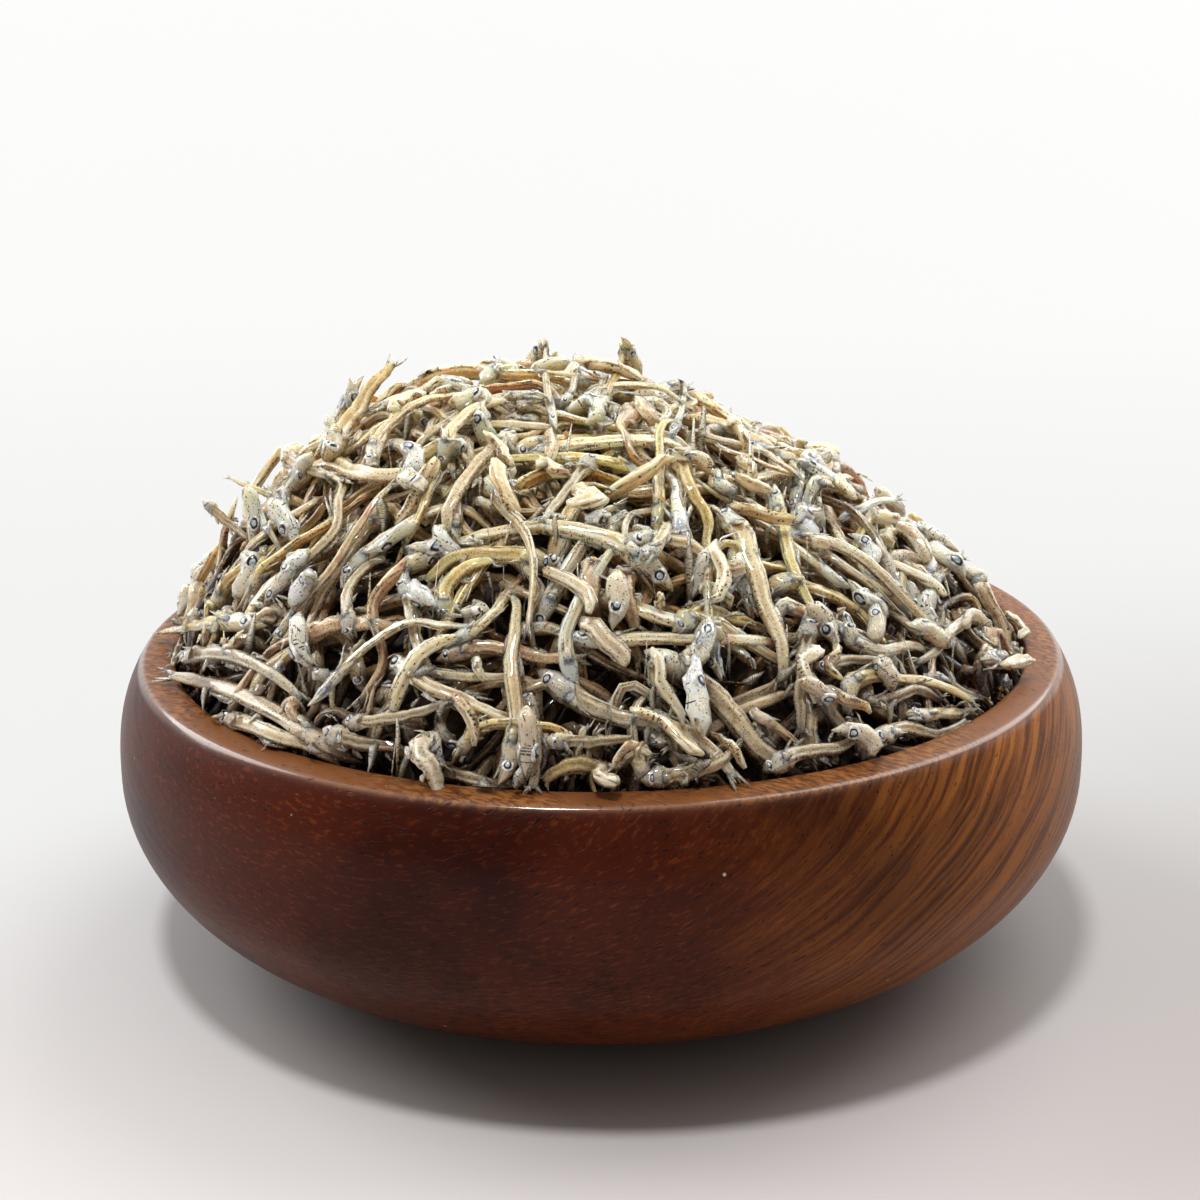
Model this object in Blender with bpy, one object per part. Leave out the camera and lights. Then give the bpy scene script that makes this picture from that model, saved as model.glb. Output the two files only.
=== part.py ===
# Dried anchovies heaped in a shallow turned wooden bowl.
# The bowl is a solid of revolution. The heap is one solid: a core that fills the bowl and
# rises above its rim, with whole fish dropped on it one by one and fused where they lie.
# Units are metres, +Z is up, and the origin is the centre of the bowl's foot.

import math
import random

import bmesh
import bpy
import numpy as np
from mathutils import Matrix, Vector

# Bowl: outside
BOWL_RADIUS = 0.0750          # at the belly, the widest place
BELLY_HEIGHT = 0.0290
RIM_RADIUS = 0.0708           # outer edge of the rim, which is drawn in above the belly
BOWL_HEIGHT = 0.0460
FOOT_RADIUS = 0.0340          # flat ring-free foot that the bowl stands on
SHOULDER_POWER = 2.8          # how late the wall turns in between belly and rim

# Bowl: inside
RIM_WIDTH = 0.0054
WALL = 0.0062                 # at the belly
FLOOR = 0.0075
INNER_FLOOR_RADIUS = 0.0300
RIM_CROWN = 0.0004            # the rim's top rises this much towards the inside
BOWL_SEGMENTS = 48

# Heap
FIT_GAP = 0.0004              # between the heap and the bowl's inner wall
EDGE_HEIGHT = 0.0412          # where the core meets the wall, below the rim
EDGE_TILT = 0.0032            # that edge is higher at the front left, lower at the back right
HEAP_RISE = 0.0398            # of the core, from its edge to its top
TOP_OFFSET = (-0.0140, 0.0020)  # the top is left of the bowl's middle
HEAP_SHOULDER = 2.25          # how round the dome is
CORE_SEGMENTS = 32
CORE_RINGS = 7
CORE_HOLLOWS = 0.0016         # its surface sinks by up to this much from place to place

# Fish
FISH_COUNT = 90
FISH_LENGTH = 0.0385
FISH_HALF_HEIGHT = 0.00205
FISH_HALF_WIDTH = 0.00150
FISH_SIDES = 5
LENGTH_SPREAD = 0.20          # shortest and longest fish differ this share from the usual
FISH_SINK = 0.0007            # each fish is pressed this deep into what it rests on
RIM_CLEARANCE = 0.0006        # fish that reach over the rim stay this far above it
REACH = 0.0700                # and end within its outer edge
OVERHANG_SIDE = -0.0450       # they do so only to the left of this
PLACES_TRIED = 16             # for each fish, of which it takes the barest
OUTWARD_BIAS = 0.01           # and of two as bare, the one nearer the bowl's wall
SEED = 41

# Fish that stand out of the heap: tip, then heading and slope of the body in degrees, and size
STRAY_FISH = (
    ((-0.0320, 0.0000, 0.0890), 25.0, 50.0, 1.30),
    ((-0.0080, 0.0040, 0.0915), 100.0, 62.0, 0.80),
    ((0.0045, 0.0060, 0.0905), 20.0, 52.0, 0.90),
    ((0.0135, 0.0020, 0.0860), 75.0, 55.0, 0.80),
    ((0.0480, 0.0040, 0.0680), 10.0, 12.0, 0.95),
    ((0.0570, 0.0100, 0.0600), 25.0, 20.0, 0.85),
    ((-0.0615, 0.0020, 0.0655), 165.0, 22.0, 0.95),
    ((-0.0585, 0.0080, 0.0705), 150.0, 30.0, 0.80),
)

WOOD_COLOUR = (0.165, 0.052, 0.022, 1.0)
FISH_COLOUR = (0.600, 0.500, 0.340, 1.0)

# A fish seen from the snout (0) to the end of its tail fin (1): station, half height, half width
FISH_STATIONS = (
    (0.00, 0.25, 0.30),
    (0.08, 0.85, 1.00),       # eyes
    (0.20, 1.00, 0.95),       # gill covers
    (0.50, 0.92, 0.85),
    (0.75, 0.62, 0.58),
    (0.90, 0.32, 0.25),       # root of the tail
    (1.00, 0.75, 0.14),       # spread tail fin
)


def clear_scene():
    for obj in list(bpy.data.objects):
        bpy.data.objects.remove(obj, do_unlink=True)


def add_material(obj, name, colour, roughness):
    material = bpy.data.materials.new(name)
    material.use_nodes = True
    shader = material.node_tree.nodes["Principled BSDF"]
    shader.inputs["Base Color"].default_value = colour
    shader.inputs["Roughness"].default_value = roughness
    shader.inputs["Metallic"].default_value = 0.0
    material.diffuse_color = colour
    obj.data.materials.append(material)


def add_object(name, mesh):
    obj = bpy.data.objects.new(name, mesh)
    bpy.context.scene.collection.objects.link(obj)
    return obj


def quarter_bend(inner_radius, outer_radius, low, high, steps):
    """Points of a quarter ellipse from the flat bottom, at inner_radius, out and up to the belly."""
    points = []
    for i in range(steps + 1):
        angle = 0.5 * math.pi * i / steps
        radius = inner_radius + (outer_radius - inner_radius) * math.sin(angle)
        points.append((radius, high - (high - low) * math.cos(angle)))
    return points


def drawn_in(belly_radius, top_radius, low, high, steps):
    """Points of the wall above the belly, which turns in slowly and then more."""
    points = []
    for i in range(1, steps + 1):
        rise = i / steps
        radius = belly_radius - (belly_radius - top_radius) * rise ** SHOULDER_POWER
        points.append((radius, low + (high - low) * rise))
    return points


def inner_wall_points(steps_below=6, steps_above=3):
    """The bowl's inside from the edge of its flat floor up to the rim."""
    belly = BOWL_RADIUS - WALL
    top = RIM_RADIUS - RIM_WIDTH
    below = quarter_bend(INNER_FLOOR_RADIUS, belly, FLOOR, BELLY_HEIGHT, steps_below)
    return below + drawn_in(belly, top, BELLY_HEIGHT, BOWL_HEIGHT + RIM_CROWN, steps_above)


def turned_body(name, profile, segments):
    """A closed solid turned about Z from a profile whose two ends lie on the axis."""
    shape = bmesh.new()
    verts = [shape.verts.new((radius, 0.0, height)) for radius, height in profile]
    edges = [shape.edges.new(pair) for pair in zip(verts, verts[1:])]
    bmesh.ops.spin(
        shape,
        geom=verts + edges,
        cent=(0.0, 0.0, 0.0),
        axis=(0.0, 0.0, 1.0),
        angle=2.0 * math.pi,
        steps=segments,
        use_duplicate=False,
    )
    bmesh.ops.remove_doubles(shape, verts=shape.verts, dist=1e-6)
    bmesh.ops.dissolve_degenerate(shape, edges=shape.edges, dist=1e-7)
    bmesh.ops.recalc_face_normals(shape, faces=shape.faces)
    mesh = bpy.data.meshes.new(name)
    shape.to_mesh(mesh)
    shape.free()
    return add_object(name, mesh)


def build_bowl():
    outside = quarter_bend(FOOT_RADIUS, BOWL_RADIUS, 0.0, BELLY_HEIGHT, 8)
    outside += drawn_in(BOWL_RADIUS, RIM_RADIUS, BELLY_HEIGHT, BOWL_HEIGHT, 4)
    inside = inner_wall_points()
    round_over = 0.0009       # the rim's inner edge is softened
    edge_radius, edge_height = inside[-1]
    inside[-1] = (edge_radius, edge_height - round_over)
    inside.append((edge_radius + round_over, edge_height))
    profile = [(0.0, 0.0)] + outside + inside[::-1] + [(0.0, FLOOR)]
    bowl = turned_body("wooden_bowl", profile, BOWL_SEGMENTS)
    bowl.data.shade_smooth()
    bowl.data.set_sharp_from_angle(angle=math.radians(35.0))
    add_material(bowl, "oiled_acacia", WOOD_COLOUR, 0.38)
    return bowl


def inner_radius_at(height):
    """Radius of the bowl's inside at a height, or of its rim above that."""
    wall = inner_wall_points()
    radii = [radius for radius, _ in wall]
    heights = [level for _, level in wall]
    return np.interp(height, heights, radii)


def edge_height(x, y):
    """Height of the core's edge in the direction of a place in plan."""
    across = (x + y) / (math.sqrt(2.0) * np.maximum(np.hypot(x, y), 1e-9))
    return EDGE_HEIGHT - EDGE_TILT * across


def heap_share(x, y):
    """0 at the heap's top and 1 at the bowl's wall, on circles that shift from one to the other."""
    edge = inner_radius_at(EDGE_HEIGHT)
    top_x, top_y = TOP_OFFSET
    from_x, from_y = x - top_x, y - top_y
    a = edge ** 2 - top_x ** 2 - top_y ** 2
    b = from_x * top_x + from_y * top_y
    c = from_x ** 2 + from_y ** 2
    return np.minimum((b + np.sqrt(b * b + a * c)) / a, 1.0)


def heap_height(x, y):
    """Top of the heap's core over a place in plan."""
    low = edge_height(x, y)
    share = heap_share(x, y)
    top = EDGE_HEIGHT + HEAP_RISE
    return low + (top - low) * (1.0 - share ** HEAP_SHOULDER)


def offset_inwards(profile, distance):
    """A profile moved off the bowl's wall, square to it."""
    points = np.array(profile)
    tangent = np.gradient(points, axis=0)
    tangent /= np.linalg.norm(tangent, axis=1)[:, None]
    return points + distance * np.column_stack([-tangent[:, 1], tangent[:, 0]])


def build_core():
    """The heap without its top layer: it fills the bowl to the wall and domes over the rim."""
    wall = [point for point in inner_wall_points() if point[1] < EDGE_HEIGHT - EDGE_TILT - 0.001]
    wall = offset_inwards(wall, FIT_GAP)
    angles = 2.0 * np.pi * np.arange(CORE_SEGMENTS) / CORE_SEGMENTS
    ways = np.column_stack([np.cos(angles), np.sin(angles)])
    inset = math.cos(math.pi / BOWL_SEGMENTS)
    rows = [
        np.column_stack([ways * radius * inset, np.full(CORE_SEGMENTS, max(height, FLOOR + FIT_GAP))])
        for radius, height in wall
    ]
    low = edge_height(ways[:, 0], ways[:, 1])
    edge = (inner_radius_at(low) - FIT_GAP) * inset
    rows.append(np.column_stack([ways * edge[:, None], low]))
    draw = random.Random(SEED)
    for step in range(1, CORE_RINGS):
        share = 1.0 - step / CORE_RINGS
        plan = ways * edge[:, None] * share + np.array(TOP_OFFSET) * (1.0 - share)
        hollows = CORE_HOLLOWS * np.array([draw.random() for _ in plan])
        rows.append(np.column_stack([plan, heap_height(plan[:, 0], plan[:, 1]) - hollows]))
    shape = bmesh.new()
    placed = [[shape.verts.new(point) for point in row] for row in rows]
    for lower, upper in zip(placed, placed[1:]):
        for i in range(CORE_SEGMENTS):
            j = (i + 1) % CORE_SEGMENTS
            shape.faces.new((lower[i], lower[j], upper[j], upper[i]))
    shape.faces.new(placed[0][::-1])
    summit = shape.verts.new((*TOP_OFFSET, EDGE_HEIGHT + HEAP_RISE))
    for i in range(CORE_SEGMENTS):
        shape.faces.new((placed[-1][i], placed[-1][(i + 1) % CORE_SEGMENTS], summit))
    bmesh.ops.triangulate(shape, faces=shape.faces)
    bmesh.ops.recalc_face_normals(shape, faces=shape.faces)
    mesh = bpy.data.meshes.new("anchovy_heap")
    shape.to_mesh(mesh)
    shape.free()
    return add_object("anchovy_heap", mesh)


class Ground:
    """What a fish comes to rest on, as heights on a square grid over the bowl."""

    def __init__(self, reach=0.075, cell=0.001):
        self.reach, self.cell = reach, cell
        axis = np.arange(-reach, reach + cell / 2, cell)
        self.x, self.y = np.meshgrid(axis, axis, indexing="ij")
        inside = np.hypot(self.x, self.y) < inner_radius_at(EDGE_HEIGHT) + 0.0005
        rim_top = BOWL_HEIGHT + RIM_CROWN + RIM_CLEARANCE + FISH_SINK
        self.bare = np.where(inside, heap_height(self.x, self.y), rim_top)
        self.height = self.bare.copy()
        slopes = np.gradient(heap_height(self.x, self.y), cell)
        self.steepness = np.minimum(np.sqrt(1.0 + slopes[0] ** 2 + slopes[1] ** 2), 2.0)

    def cells(self, points):
        index = np.rint((points + self.reach) / self.cell).astype(int)
        return np.clip(index, 0, len(self.height) - 1)

    def over(self, plan, distance):
        """Heights of points that lie a distance off the ground, square to the heap's slope."""
        row, column = self.cells(plan).T
        return self.height[row, column] + distance * self.steepness[row, column]

    def cover(self, plan):
        """Mean depth of the fish that already lie under a line in plan."""
        row, column = self.cells(plan).T
        return float(np.mean(self.height[row, column] - self.bare[row, column]))

    def add(self, points, thickness):
        """Raises the ground to the back of a fish that now lies there."""
        reach = int(math.ceil(thickness / self.cell))
        for x, y, z in points:
            row, column = self.cells(np.array([x, y]))
            rows = slice(max(row - reach, 0), row + reach + 1)
            columns = slice(max(column - reach, 0), column + reach + 1)
            distance = np.hypot(self.x[rows, columns] - x, self.y[rows, columns] - y)
            back = z + np.sqrt(np.maximum(thickness ** 2 - distance ** 2, 0.0))
            patch = self.height[rows, columns]
            self.height[rows, columns] = np.where(distance < thickness, np.maximum(patch, back), patch)


def bent_line(draw, length):
    """A fish's centreline in plan, from snout to tail about its middle, curled as it dried."""
    count = 15
    along = np.linspace(-0.5, 0.5, count)
    heading = draw.uniform(0.0, 2.0 * math.pi)
    curl = draw.gauss(0.0, 0.9)
    hook = draw.gauss(0.0, 1.2)
    turn = heading + curl * along + hook * np.maximum(along, 0.0) ** 2 * 2.0
    steps = np.stack([np.cos(turn), np.sin(turn)], axis=-1) * length / (count - 1)
    line = np.cumsum(steps, axis=0)
    return line - line.mean(axis=0)


def taut_over(along, need):
    """Heights of a thread pulled tight over a row of heights."""
    kept = []
    for point in zip(along, need):
        while len(kept) > 1:
            (x0, z0), (x1, z1) = kept[-2], kept[-1]
            if (z1 - z0) * (point[0] - x0) > (point[1] - z0) * (x1 - x0):
                break
            kept.pop()
        kept.append(point)
    return np.interp(along, [x for x, _ in kept], [z for _, z in kept])


def rest_on(ground, plan, thickness, stiffness):
    """Heights of a fish laid on the ground: bent over it, or held straighter by its stiffness."""
    along = np.linspace(-1.0, 1.0, len(plan))
    draped = taut_over(along, ground.over(plan, thickness - FISH_SINK))
    middle = len(plan) // 2
    slope = (draped[middle + 2] - draped[middle - 2]) / (along[middle + 2] - along[middle - 2])
    straight = draped[middle] + slope * (along - along[middle])
    straight += max(float((draped - straight).max()), 0.0)
    return draped + stiffness * (straight - draped)


def clear_of_bowl(points, margin):
    """True if every point is inside the bowl, or above its rim and within its outer edge."""
    radius = np.hypot(points[:, 0], points[:, 1])
    low = points[:, 2] < BOWL_HEIGHT + RIM_CROWN + RIM_CLEARANCE * 0.5
    hits = low & (radius > inner_radius_at(points[:, 2]) * math.cos(math.pi / BOWL_SEGMENTS) - margin)
    over_rim = (radius > inner_radius_at(EDGE_HEIGHT) - margin) & (points[:, 0] > OVERHANG_SIDE)
    return not np.any(hits | over_rim) and radius.max() < REACH + 0.001


def fish_body(line, size, roll):
    """Rings of a fish round its centreline, as (stations, sides, 3) points."""
    share = np.array([station[0] for station in FISH_STATIONS])
    along = np.linspace(0.0, 1.0, len(line))
    centre = np.stack([np.interp(share, along, line[:, k]) for k in range(3)], axis=-1)
    tangent = np.gradient(centre, axis=0)
    rings = []
    for (_, tall, wide), place, direction in zip(FISH_STATIONS, centre, tangent):
        ahead = Vector(direction).normalized()
        side = ahead.cross(Vector((0.0, 0.0, 1.0))).normalized()
        turn = Matrix.Rotation(roll, 3, ahead)
        across, upward = turn @ side, turn @ side.cross(ahead)
        ring = []
        for i in range(FISH_SIDES):
            angle = 2.0 * math.pi * (i + 0.5) / FISH_SIDES
            offset = across * (FISH_HALF_WIDTH * wide * size * math.cos(angle))
            offset += upward * (FISH_HALF_HEIGHT * tall * size * math.sin(angle))
            ring.append(Vector(place) + offset)
        rings.append(ring)
    return np.array(rings)


def fish_object(rings, number, collection):
    shape = bmesh.new()
    placed = [[shape.verts.new(point) for point in ring] for ring in rings]
    for first, second in zip(placed, placed[1:]):
        for i in range(FISH_SIDES):
            j = (i + 1) % FISH_SIDES
            shape.faces.new((first[i], first[j], second[j], second[i]))
    shape.faces.new(placed[0][::-1])
    shape.faces.new(placed[-1])
    bmesh.ops.triangulate(shape, faces=shape.faces)
    bmesh.ops.recalc_face_normals(shape, faces=shape.faces)
    mesh = bpy.data.meshes.new(f"fish_{number}")
    shape.to_mesh(mesh)
    shape.free()
    collection.objects.link(bpy.data.objects.new(mesh.name, mesh))


def lie_down(ground, middle, shape, length, thickness, stiffness):
    """A fish laid on the ground about a place, foreshortened in plan where the ground slopes."""
    scale = 1.0
    for _ in range(3):
        plan = middle + shape * scale
        line = np.column_stack([plan, rest_on(ground, plan, thickness, stiffness)])
        scale *= length / np.linalg.norm(np.diff(line, axis=0), axis=1).sum()
    return line


def settle(ground, draw, size):
    """Tries a fish in several places and returns it where the least lies under it.

    A fish that meets the bowl is moved in from the wall until it is clear.
    """
    best, least = None, math.inf
    length = FISH_LENGTH * size
    thickness = FISH_HALF_WIDTH * size
    for _ in range(PLACES_TRIED):
        angle = draw.uniform(0.0, 2.0 * math.pi)
        distance = REACH * math.sqrt(draw.random())
        shape = bent_line(draw, length)
        stiffness = draw.uniform(0.0, 0.3)
        roll = 0.5 * math.pi + draw.uniform(-0.7, 0.7)
        for step in range(8):
            away = distance - 0.003 * step
            middle = np.array([away * math.cos(angle), away * math.sin(angle)])
            line = lie_down(ground, middle, shape, length, thickness, stiffness)
            rings = fish_body(line, size, roll)
            if not clear_of_bowl(rings.reshape(-1, 3), FIT_GAP):
                continue
            depth = ground.cover(line[:, :2]) - OUTWARD_BIAS * away
            if depth < least:
                best, least = (line, rings), depth
            break
    return best


def stray_line(tip, heading, slope, size):
    """A nearly straight fish that ends in the given tip and runs down into the heap."""
    count = 15
    back = np.linspace(0.0, 1.0, count) * FISH_LENGTH * size * 0.62
    turn, fall = math.radians(heading), math.radians(slope)
    sag = 0.10 * back ** 2 / (FISH_LENGTH * size)
    plan = np.array(tip[:2]) - back[:, None] * math.cos(fall) * np.array([math.cos(turn), math.sin(turn)])
    height = tip[2] - back * math.sin(fall) - sag
    return np.column_stack([plan, height])[::-1]


def lay_fish(collection):
    """Lays the fish that show, one after another, clear of the bowl."""
    draw = random.Random(SEED)
    ground = Ground()
    laid = 0
    for tip, heading, slope, size in STRAY_FISH:
        line = stray_line(tip, heading, slope, size)
        fish_object(fish_body(line, size, draw.uniform(-0.6, 0.6)), laid, collection)
        laid += 1
    for _ in range(FISH_COUNT - len(STRAY_FISH)):
        size = 1.0 + draw.uniform(-LENGTH_SPREAD, LENGTH_SPREAD)
        found = settle(ground, draw, size)
        if found is None:
            continue
        line, rings = found
        ground.add(line, FISH_HALF_WIDTH * size)
        fish_object(rings, laid, collection)
        laid += 1


def signed_volume(faces):
    return sum(face.calc_center_median().dot(face.normal) * face.calc_area() for face in faces) / 3.0


def keep_outer_body(mesh):
    """Removes loose scraps, and fills the hollows that fusing sealed."""
    shape = bmesh.new()
    shape.from_mesh(mesh)
    bmesh.ops.triangulate(shape, faces=shape.faces)
    left = set(shape.faces)
    bodies = []
    while left:
        body, border = set(), [left.pop()]
        while border:
            face = border.pop()
            body.add(face)
            for edge in face.edges:
                for other in edge.link_faces:
                    if other in left:
                        left.remove(other)
                        border.append(other)
        bodies.append(body)
    main = max(bodies, key=signed_volume)
    extra = [face for body in bodies if body is not main for face in body]
    bmesh.ops.delete(shape, geom=extra, context="FACES")
    shape.to_mesh(mesh)
    shape.free()


def build_heap():
    heap = build_core()
    fish = bpy.data.collections.new("fish")
    bpy.context.scene.collection.children.link(fish)
    lay_fish(fish)
    union = heap.modifiers.new("fuse_fish", "BOOLEAN")
    union.operation = "UNION"
    union.operand_type = "COLLECTION"
    union.collection = fish
    union.solver = "MANIFOLD"
    bpy.context.view_layer.objects.active = heap
    bpy.ops.object.modifier_apply(modifier=union.name)
    for obj in list(fish.objects):
        bpy.data.objects.remove(obj, do_unlink=True)
    bpy.data.collections.remove(fish)
    keep_outer_body(heap.data)
    add_material(heap, "dried_fish", FISH_COLOUR, 0.55)
    return heap


clear_scene()
build_bowl()
build_heap()
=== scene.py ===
import math
import random

import bmesh
import bpy
import numpy as np
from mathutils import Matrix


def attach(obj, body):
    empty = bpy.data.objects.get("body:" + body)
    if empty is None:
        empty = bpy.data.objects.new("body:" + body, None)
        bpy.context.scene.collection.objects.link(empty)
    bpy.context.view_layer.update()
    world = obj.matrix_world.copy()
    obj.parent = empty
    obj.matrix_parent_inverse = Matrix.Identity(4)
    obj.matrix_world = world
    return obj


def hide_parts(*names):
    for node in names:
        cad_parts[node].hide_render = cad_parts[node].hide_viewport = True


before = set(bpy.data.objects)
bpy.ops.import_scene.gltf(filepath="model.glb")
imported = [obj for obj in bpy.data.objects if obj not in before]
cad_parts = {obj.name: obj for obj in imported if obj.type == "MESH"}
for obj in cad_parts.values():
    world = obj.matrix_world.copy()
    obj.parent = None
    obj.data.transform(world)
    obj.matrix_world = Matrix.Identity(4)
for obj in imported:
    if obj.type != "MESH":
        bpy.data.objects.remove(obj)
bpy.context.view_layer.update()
scene = bpy.context.scene

# Helpers for colours, nodes and meshes.


# "#a07850" as Blender wants it: linear, with alpha
def toLinear(hexCode):
    parts = [int(hexCode[i:i + 2], 16) / 255 for i in (1, 3, 5)]
    return tuple(c / 12.92 if c <= 0.04045 else ((c + 0.055) / 1.055) ** 2.4 for c in parts) + (1.0,)


# an output of a node that can be reckoned with like a number
class Value:
    def __init__(self, socket):
        self.socket = socket
        self.tree = socket.id_data

    def __add__(self, other):
        return calc("ADD", self, other)

    def __sub__(self, other):
        return calc("SUBTRACT", self, other)

    def __mul__(self, other):
        return calc("MULTIPLY", self, other)

    def __abs__(self):
        return calc("ABSOLUTE", self)


def plug(node, name, value):
    if isinstance(value, Value):
        value.tree.links.new(value.socket, node.inputs[name])
    else:
        node.inputs[name].default_value = value


# settings: a node's own option, or the name or number of an input and its value
def addNode(tree, kind, settings=None, links=None):
    node = tree.nodes.new(kind)
    for name, value in (settings or {}).items():
        if isinstance(name, str) and hasattr(node, name):
            setattr(node, name, value)
        else:
            node.inputs[name].default_value = value
    for name, value in (links or {}).items():
        plug(node, name, value)
    return node


def addValue(tree, kind, settings=None, links=None, output=0):
    return Value(addNode(tree, kind, settings, links).outputs[output])


def calc(operation, first, second=None):
    links = {0: first} if second is None else {0: first, 1: second}
    return addValue(first.tree, "ShaderNodeMath", {"operation": operation}, links)


def larger(first, second):
    return calc("MAXIMUM", first, second)


def vecCalc(operation, first, second=None):
    links = {0: first} if second is None else {0: first, 1: second}
    output = 1 if operation == "DOT_PRODUCT" else 0
    return addValue(first.tree, "ShaderNodeVectorMath", {"operation": operation}, links, output)


def added(first, second):
    return vecCalc("ADD", first, second)


def stretched(vector, scale):
    return vecCalc("MULTIPLY", vector, scale)


def scaled(vector, factor):
    settings = {"operation": "SCALE"}
    return addValue(vector.tree, "ShaderNodeVectorMath", settings, {0: vector, "Scale": factor})


def split(vector):
    return [Value(part) for part in addNode(vector.tree, "ShaderNodeSeparateXYZ", None, {0: vector}).outputs]


def joined(x, y=0.0, z=0.0):
    return addValue(x.tree, "ShaderNodeCombineXYZ", None, {0: x, 1: y, 2: z})


# 0 at low and 1 at high with soft ends; low may be above high
def fade(value, low, high):
    falling = low > high
    settings = {"interpolation_type": "SMOOTHSTEP", 1: min(low, high), 2: max(low, high)}
    settings.update({3: falling, 4: not falling})
    return addValue(value.tree, "ShaderNodeMapRange", settings, {0: value})


def mixColour(factor, first, second, blend="MIX"):
    tree = next(value.tree for value in (factor, first, second) if isinstance(value, Value))
    first, second = [toLinear(value) if isinstance(value, str) else value for value in (first, second)]
    settings = {"data_type": "RGBA", "blend_type": blend}
    return addValue(tree, "ShaderNodeMix", settings, {0: factor, 6: first, 7: second}, 2)


def tinted(colour, tone):
    return mixColour(1.0, colour, tone, "MULTIPLY")


def noise(vector, size, detail=2.0, roughness=0.5, distortion=0.0, output=0):
    settings = {"Scale": size, "Detail": detail, "Roughness": roughness, "Distortion": distortion}
    return addValue(vector.tree, "ShaderNodeTexNoise", settings, {"Vector": vector}, output)


# a cell pattern: how far from the cell's middle, and three chances that each cell has
def cellsOf(vector, size, dimensions="3D"):
    settings = {"voronoi_dimensions": dimensions, "Scale": size}
    cells = addNode(vector.tree, "ShaderNodeTexVoronoi", settings, {"Vector": vector}).outputs
    chances = addNode(vector.tree, "ShaderNodeSeparateColor", None, {0: Value(cells["Color"])}).outputs
    return Value(cells["Distance"]), [Value(chance) for chance in chances]


def objectPlace(tree):
    return addValue(tree, "ShaderNodeTexCoord", output="Object")


# a value that each vertex of a fish carries
def carried(tree, name, output="Vector"):
    return addValue(tree, "ShaderNodeAttribute", {"attribute_name": name}, output=output)


def newMaterial(name, settings=None):
    material = bpy.data.materials.new(name)
    material.use_nodes = True
    tree = material.node_tree
    tree.nodes.clear()
    shader = addNode(tree, "ShaderNodeBsdfPrincipled", settings)
    addNode(tree, "ShaderNodeOutputMaterial", None, {"Surface": Value(shader.outputs[0])})
    return material, tree, shader


def addBump(shader, height, distance):
    settings = {"Strength": 1.0, "Distance": distance}
    plug(shader, "Normal", addValue(height.tree, "ShaderNodeBump", settings, {"Height": height}))


def addObject(name, data):
    obj = bpy.data.objects.new(name, data)
    scene.collection.objects.link(obj)
    return obj


# a mesh of rings with equally many points, from the lowest up, closed to a point at both ends
def ringMesh(name, rings, ends):
    segments = len(rings[0])
    points = np.concatenate(rings + [ends])
    faces = []
    for row in range(len(rings) - 1):
        for i in range(segments):
            j = (i + 1) % segments
            a, b = row * segments, (row + 1) * segments
            faces.append((a + i, a + j, b + j, b + i))
    last = (len(rings) - 1) * segments
    for i in range(segments):
        j = (i + 1) % segments
        faces.append((j, i, len(points) - 2))
        faces.append((last + i, last + j, len(points) - 1))
    mesh = bpy.data.meshes.new(name)
    mesh.from_pydata(points.tolist(), [], faces)
    return mesh


def meshObject(name, mesh, material):
    obj = addObject(name, mesh)
    mesh.materials.clear()
    mesh.materials.append(material)
    mesh.shade_smooth()
    return obj


# The camera, which also places the fish that are seen one by one in the photograph.

view = {
    "lens": 63.0,          # mm
    "frame": 36.0,         # mm, both wide and high
    "distance": 0.3147,    # in front of the bowl's middle
    "height": 0.1489,
    "pitch": 17.22,        # degrees down
    "roll": 0.47,
    "pixels": 1200.0,      # width that the pixel places below refer to
}


def makeCamera():
    camera = addObject("camera", bpy.data.cameras.new("camera"))
    camera.data.lens = view["lens"]
    camera.data.sensor_width = view["frame"]
    camera.data.clip_start = 0.01
    camera.data.clip_end = 60.0
    camera.location = (0.0, -view["distance"], view["height"])
    camera.rotation_euler = (math.radians(90.0 - view["pitch"]), 0.0, 0.0)
    camera.rotation_euler.rotate_axis("Z", math.radians(-view["roll"]))
    scene.camera = camera


# directions in which the camera sees the given pixels
def sightLines(pixels):
    focal = view["lens"] / view["frame"] * view["pixels"]
    roll, pitch = math.radians(view["roll"]), math.radians(view["pitch"])
    across, down = (np.array(pixels, float) - view["pixels"] / 2).T / focal
    u = across * math.cos(roll) - down * math.sin(roll)
    v = across * math.sin(roll) + down * math.cos(roll)
    forward = np.array([0.0, math.cos(pitch), -math.sin(pitch)])
    upward = np.array([0.0, math.sin(pitch), math.cos(pitch)])
    rays = np.array([1.0, 0.0, 0.0]) * u[:, None] - upward * v[:, None] + forward
    return rays / np.linalg.norm(rays, axis=1)[:, None]


# The bowl, turned from one piece of acacia.

bowlSize = {
    "radius": 0.0750, "bellyHeight": 0.0290, "rimRadius": 0.0708, "height": 0.0460,
    "footRadius": 0.0340, "shoulder": 2.8, "rimWidth": 0.0054, "wall": 0.0062,
    "floor": 0.0075, "innerFloorRadius": 0.0300, "rimCrown": 0.0004,
    "outerEdge": 0.0006, "innerEdge": 0.0014,   # how far the rim's two edges are rounded
    "segments": 224,
}


def quarterBend(innerRadius, outerRadius, low, high, steps):
    turn = np.linspace(0.0, 0.5 * math.pi, steps + 1)
    radius = innerRadius + (outerRadius - innerRadius) * np.sin(turn)
    return np.column_stack([radius, high - (high - low) * np.cos(turn)])


def drawnIn(bellyRadius, topRadius, low, high, steps):
    rise = np.linspace(0.0, 1.0, steps + 1)[1:]
    radius = bellyRadius - (bellyRadius - topRadius) * rise ** bowlSize["shoulder"]
    return np.column_stack([radius, low + (high - low) * rise])


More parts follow.
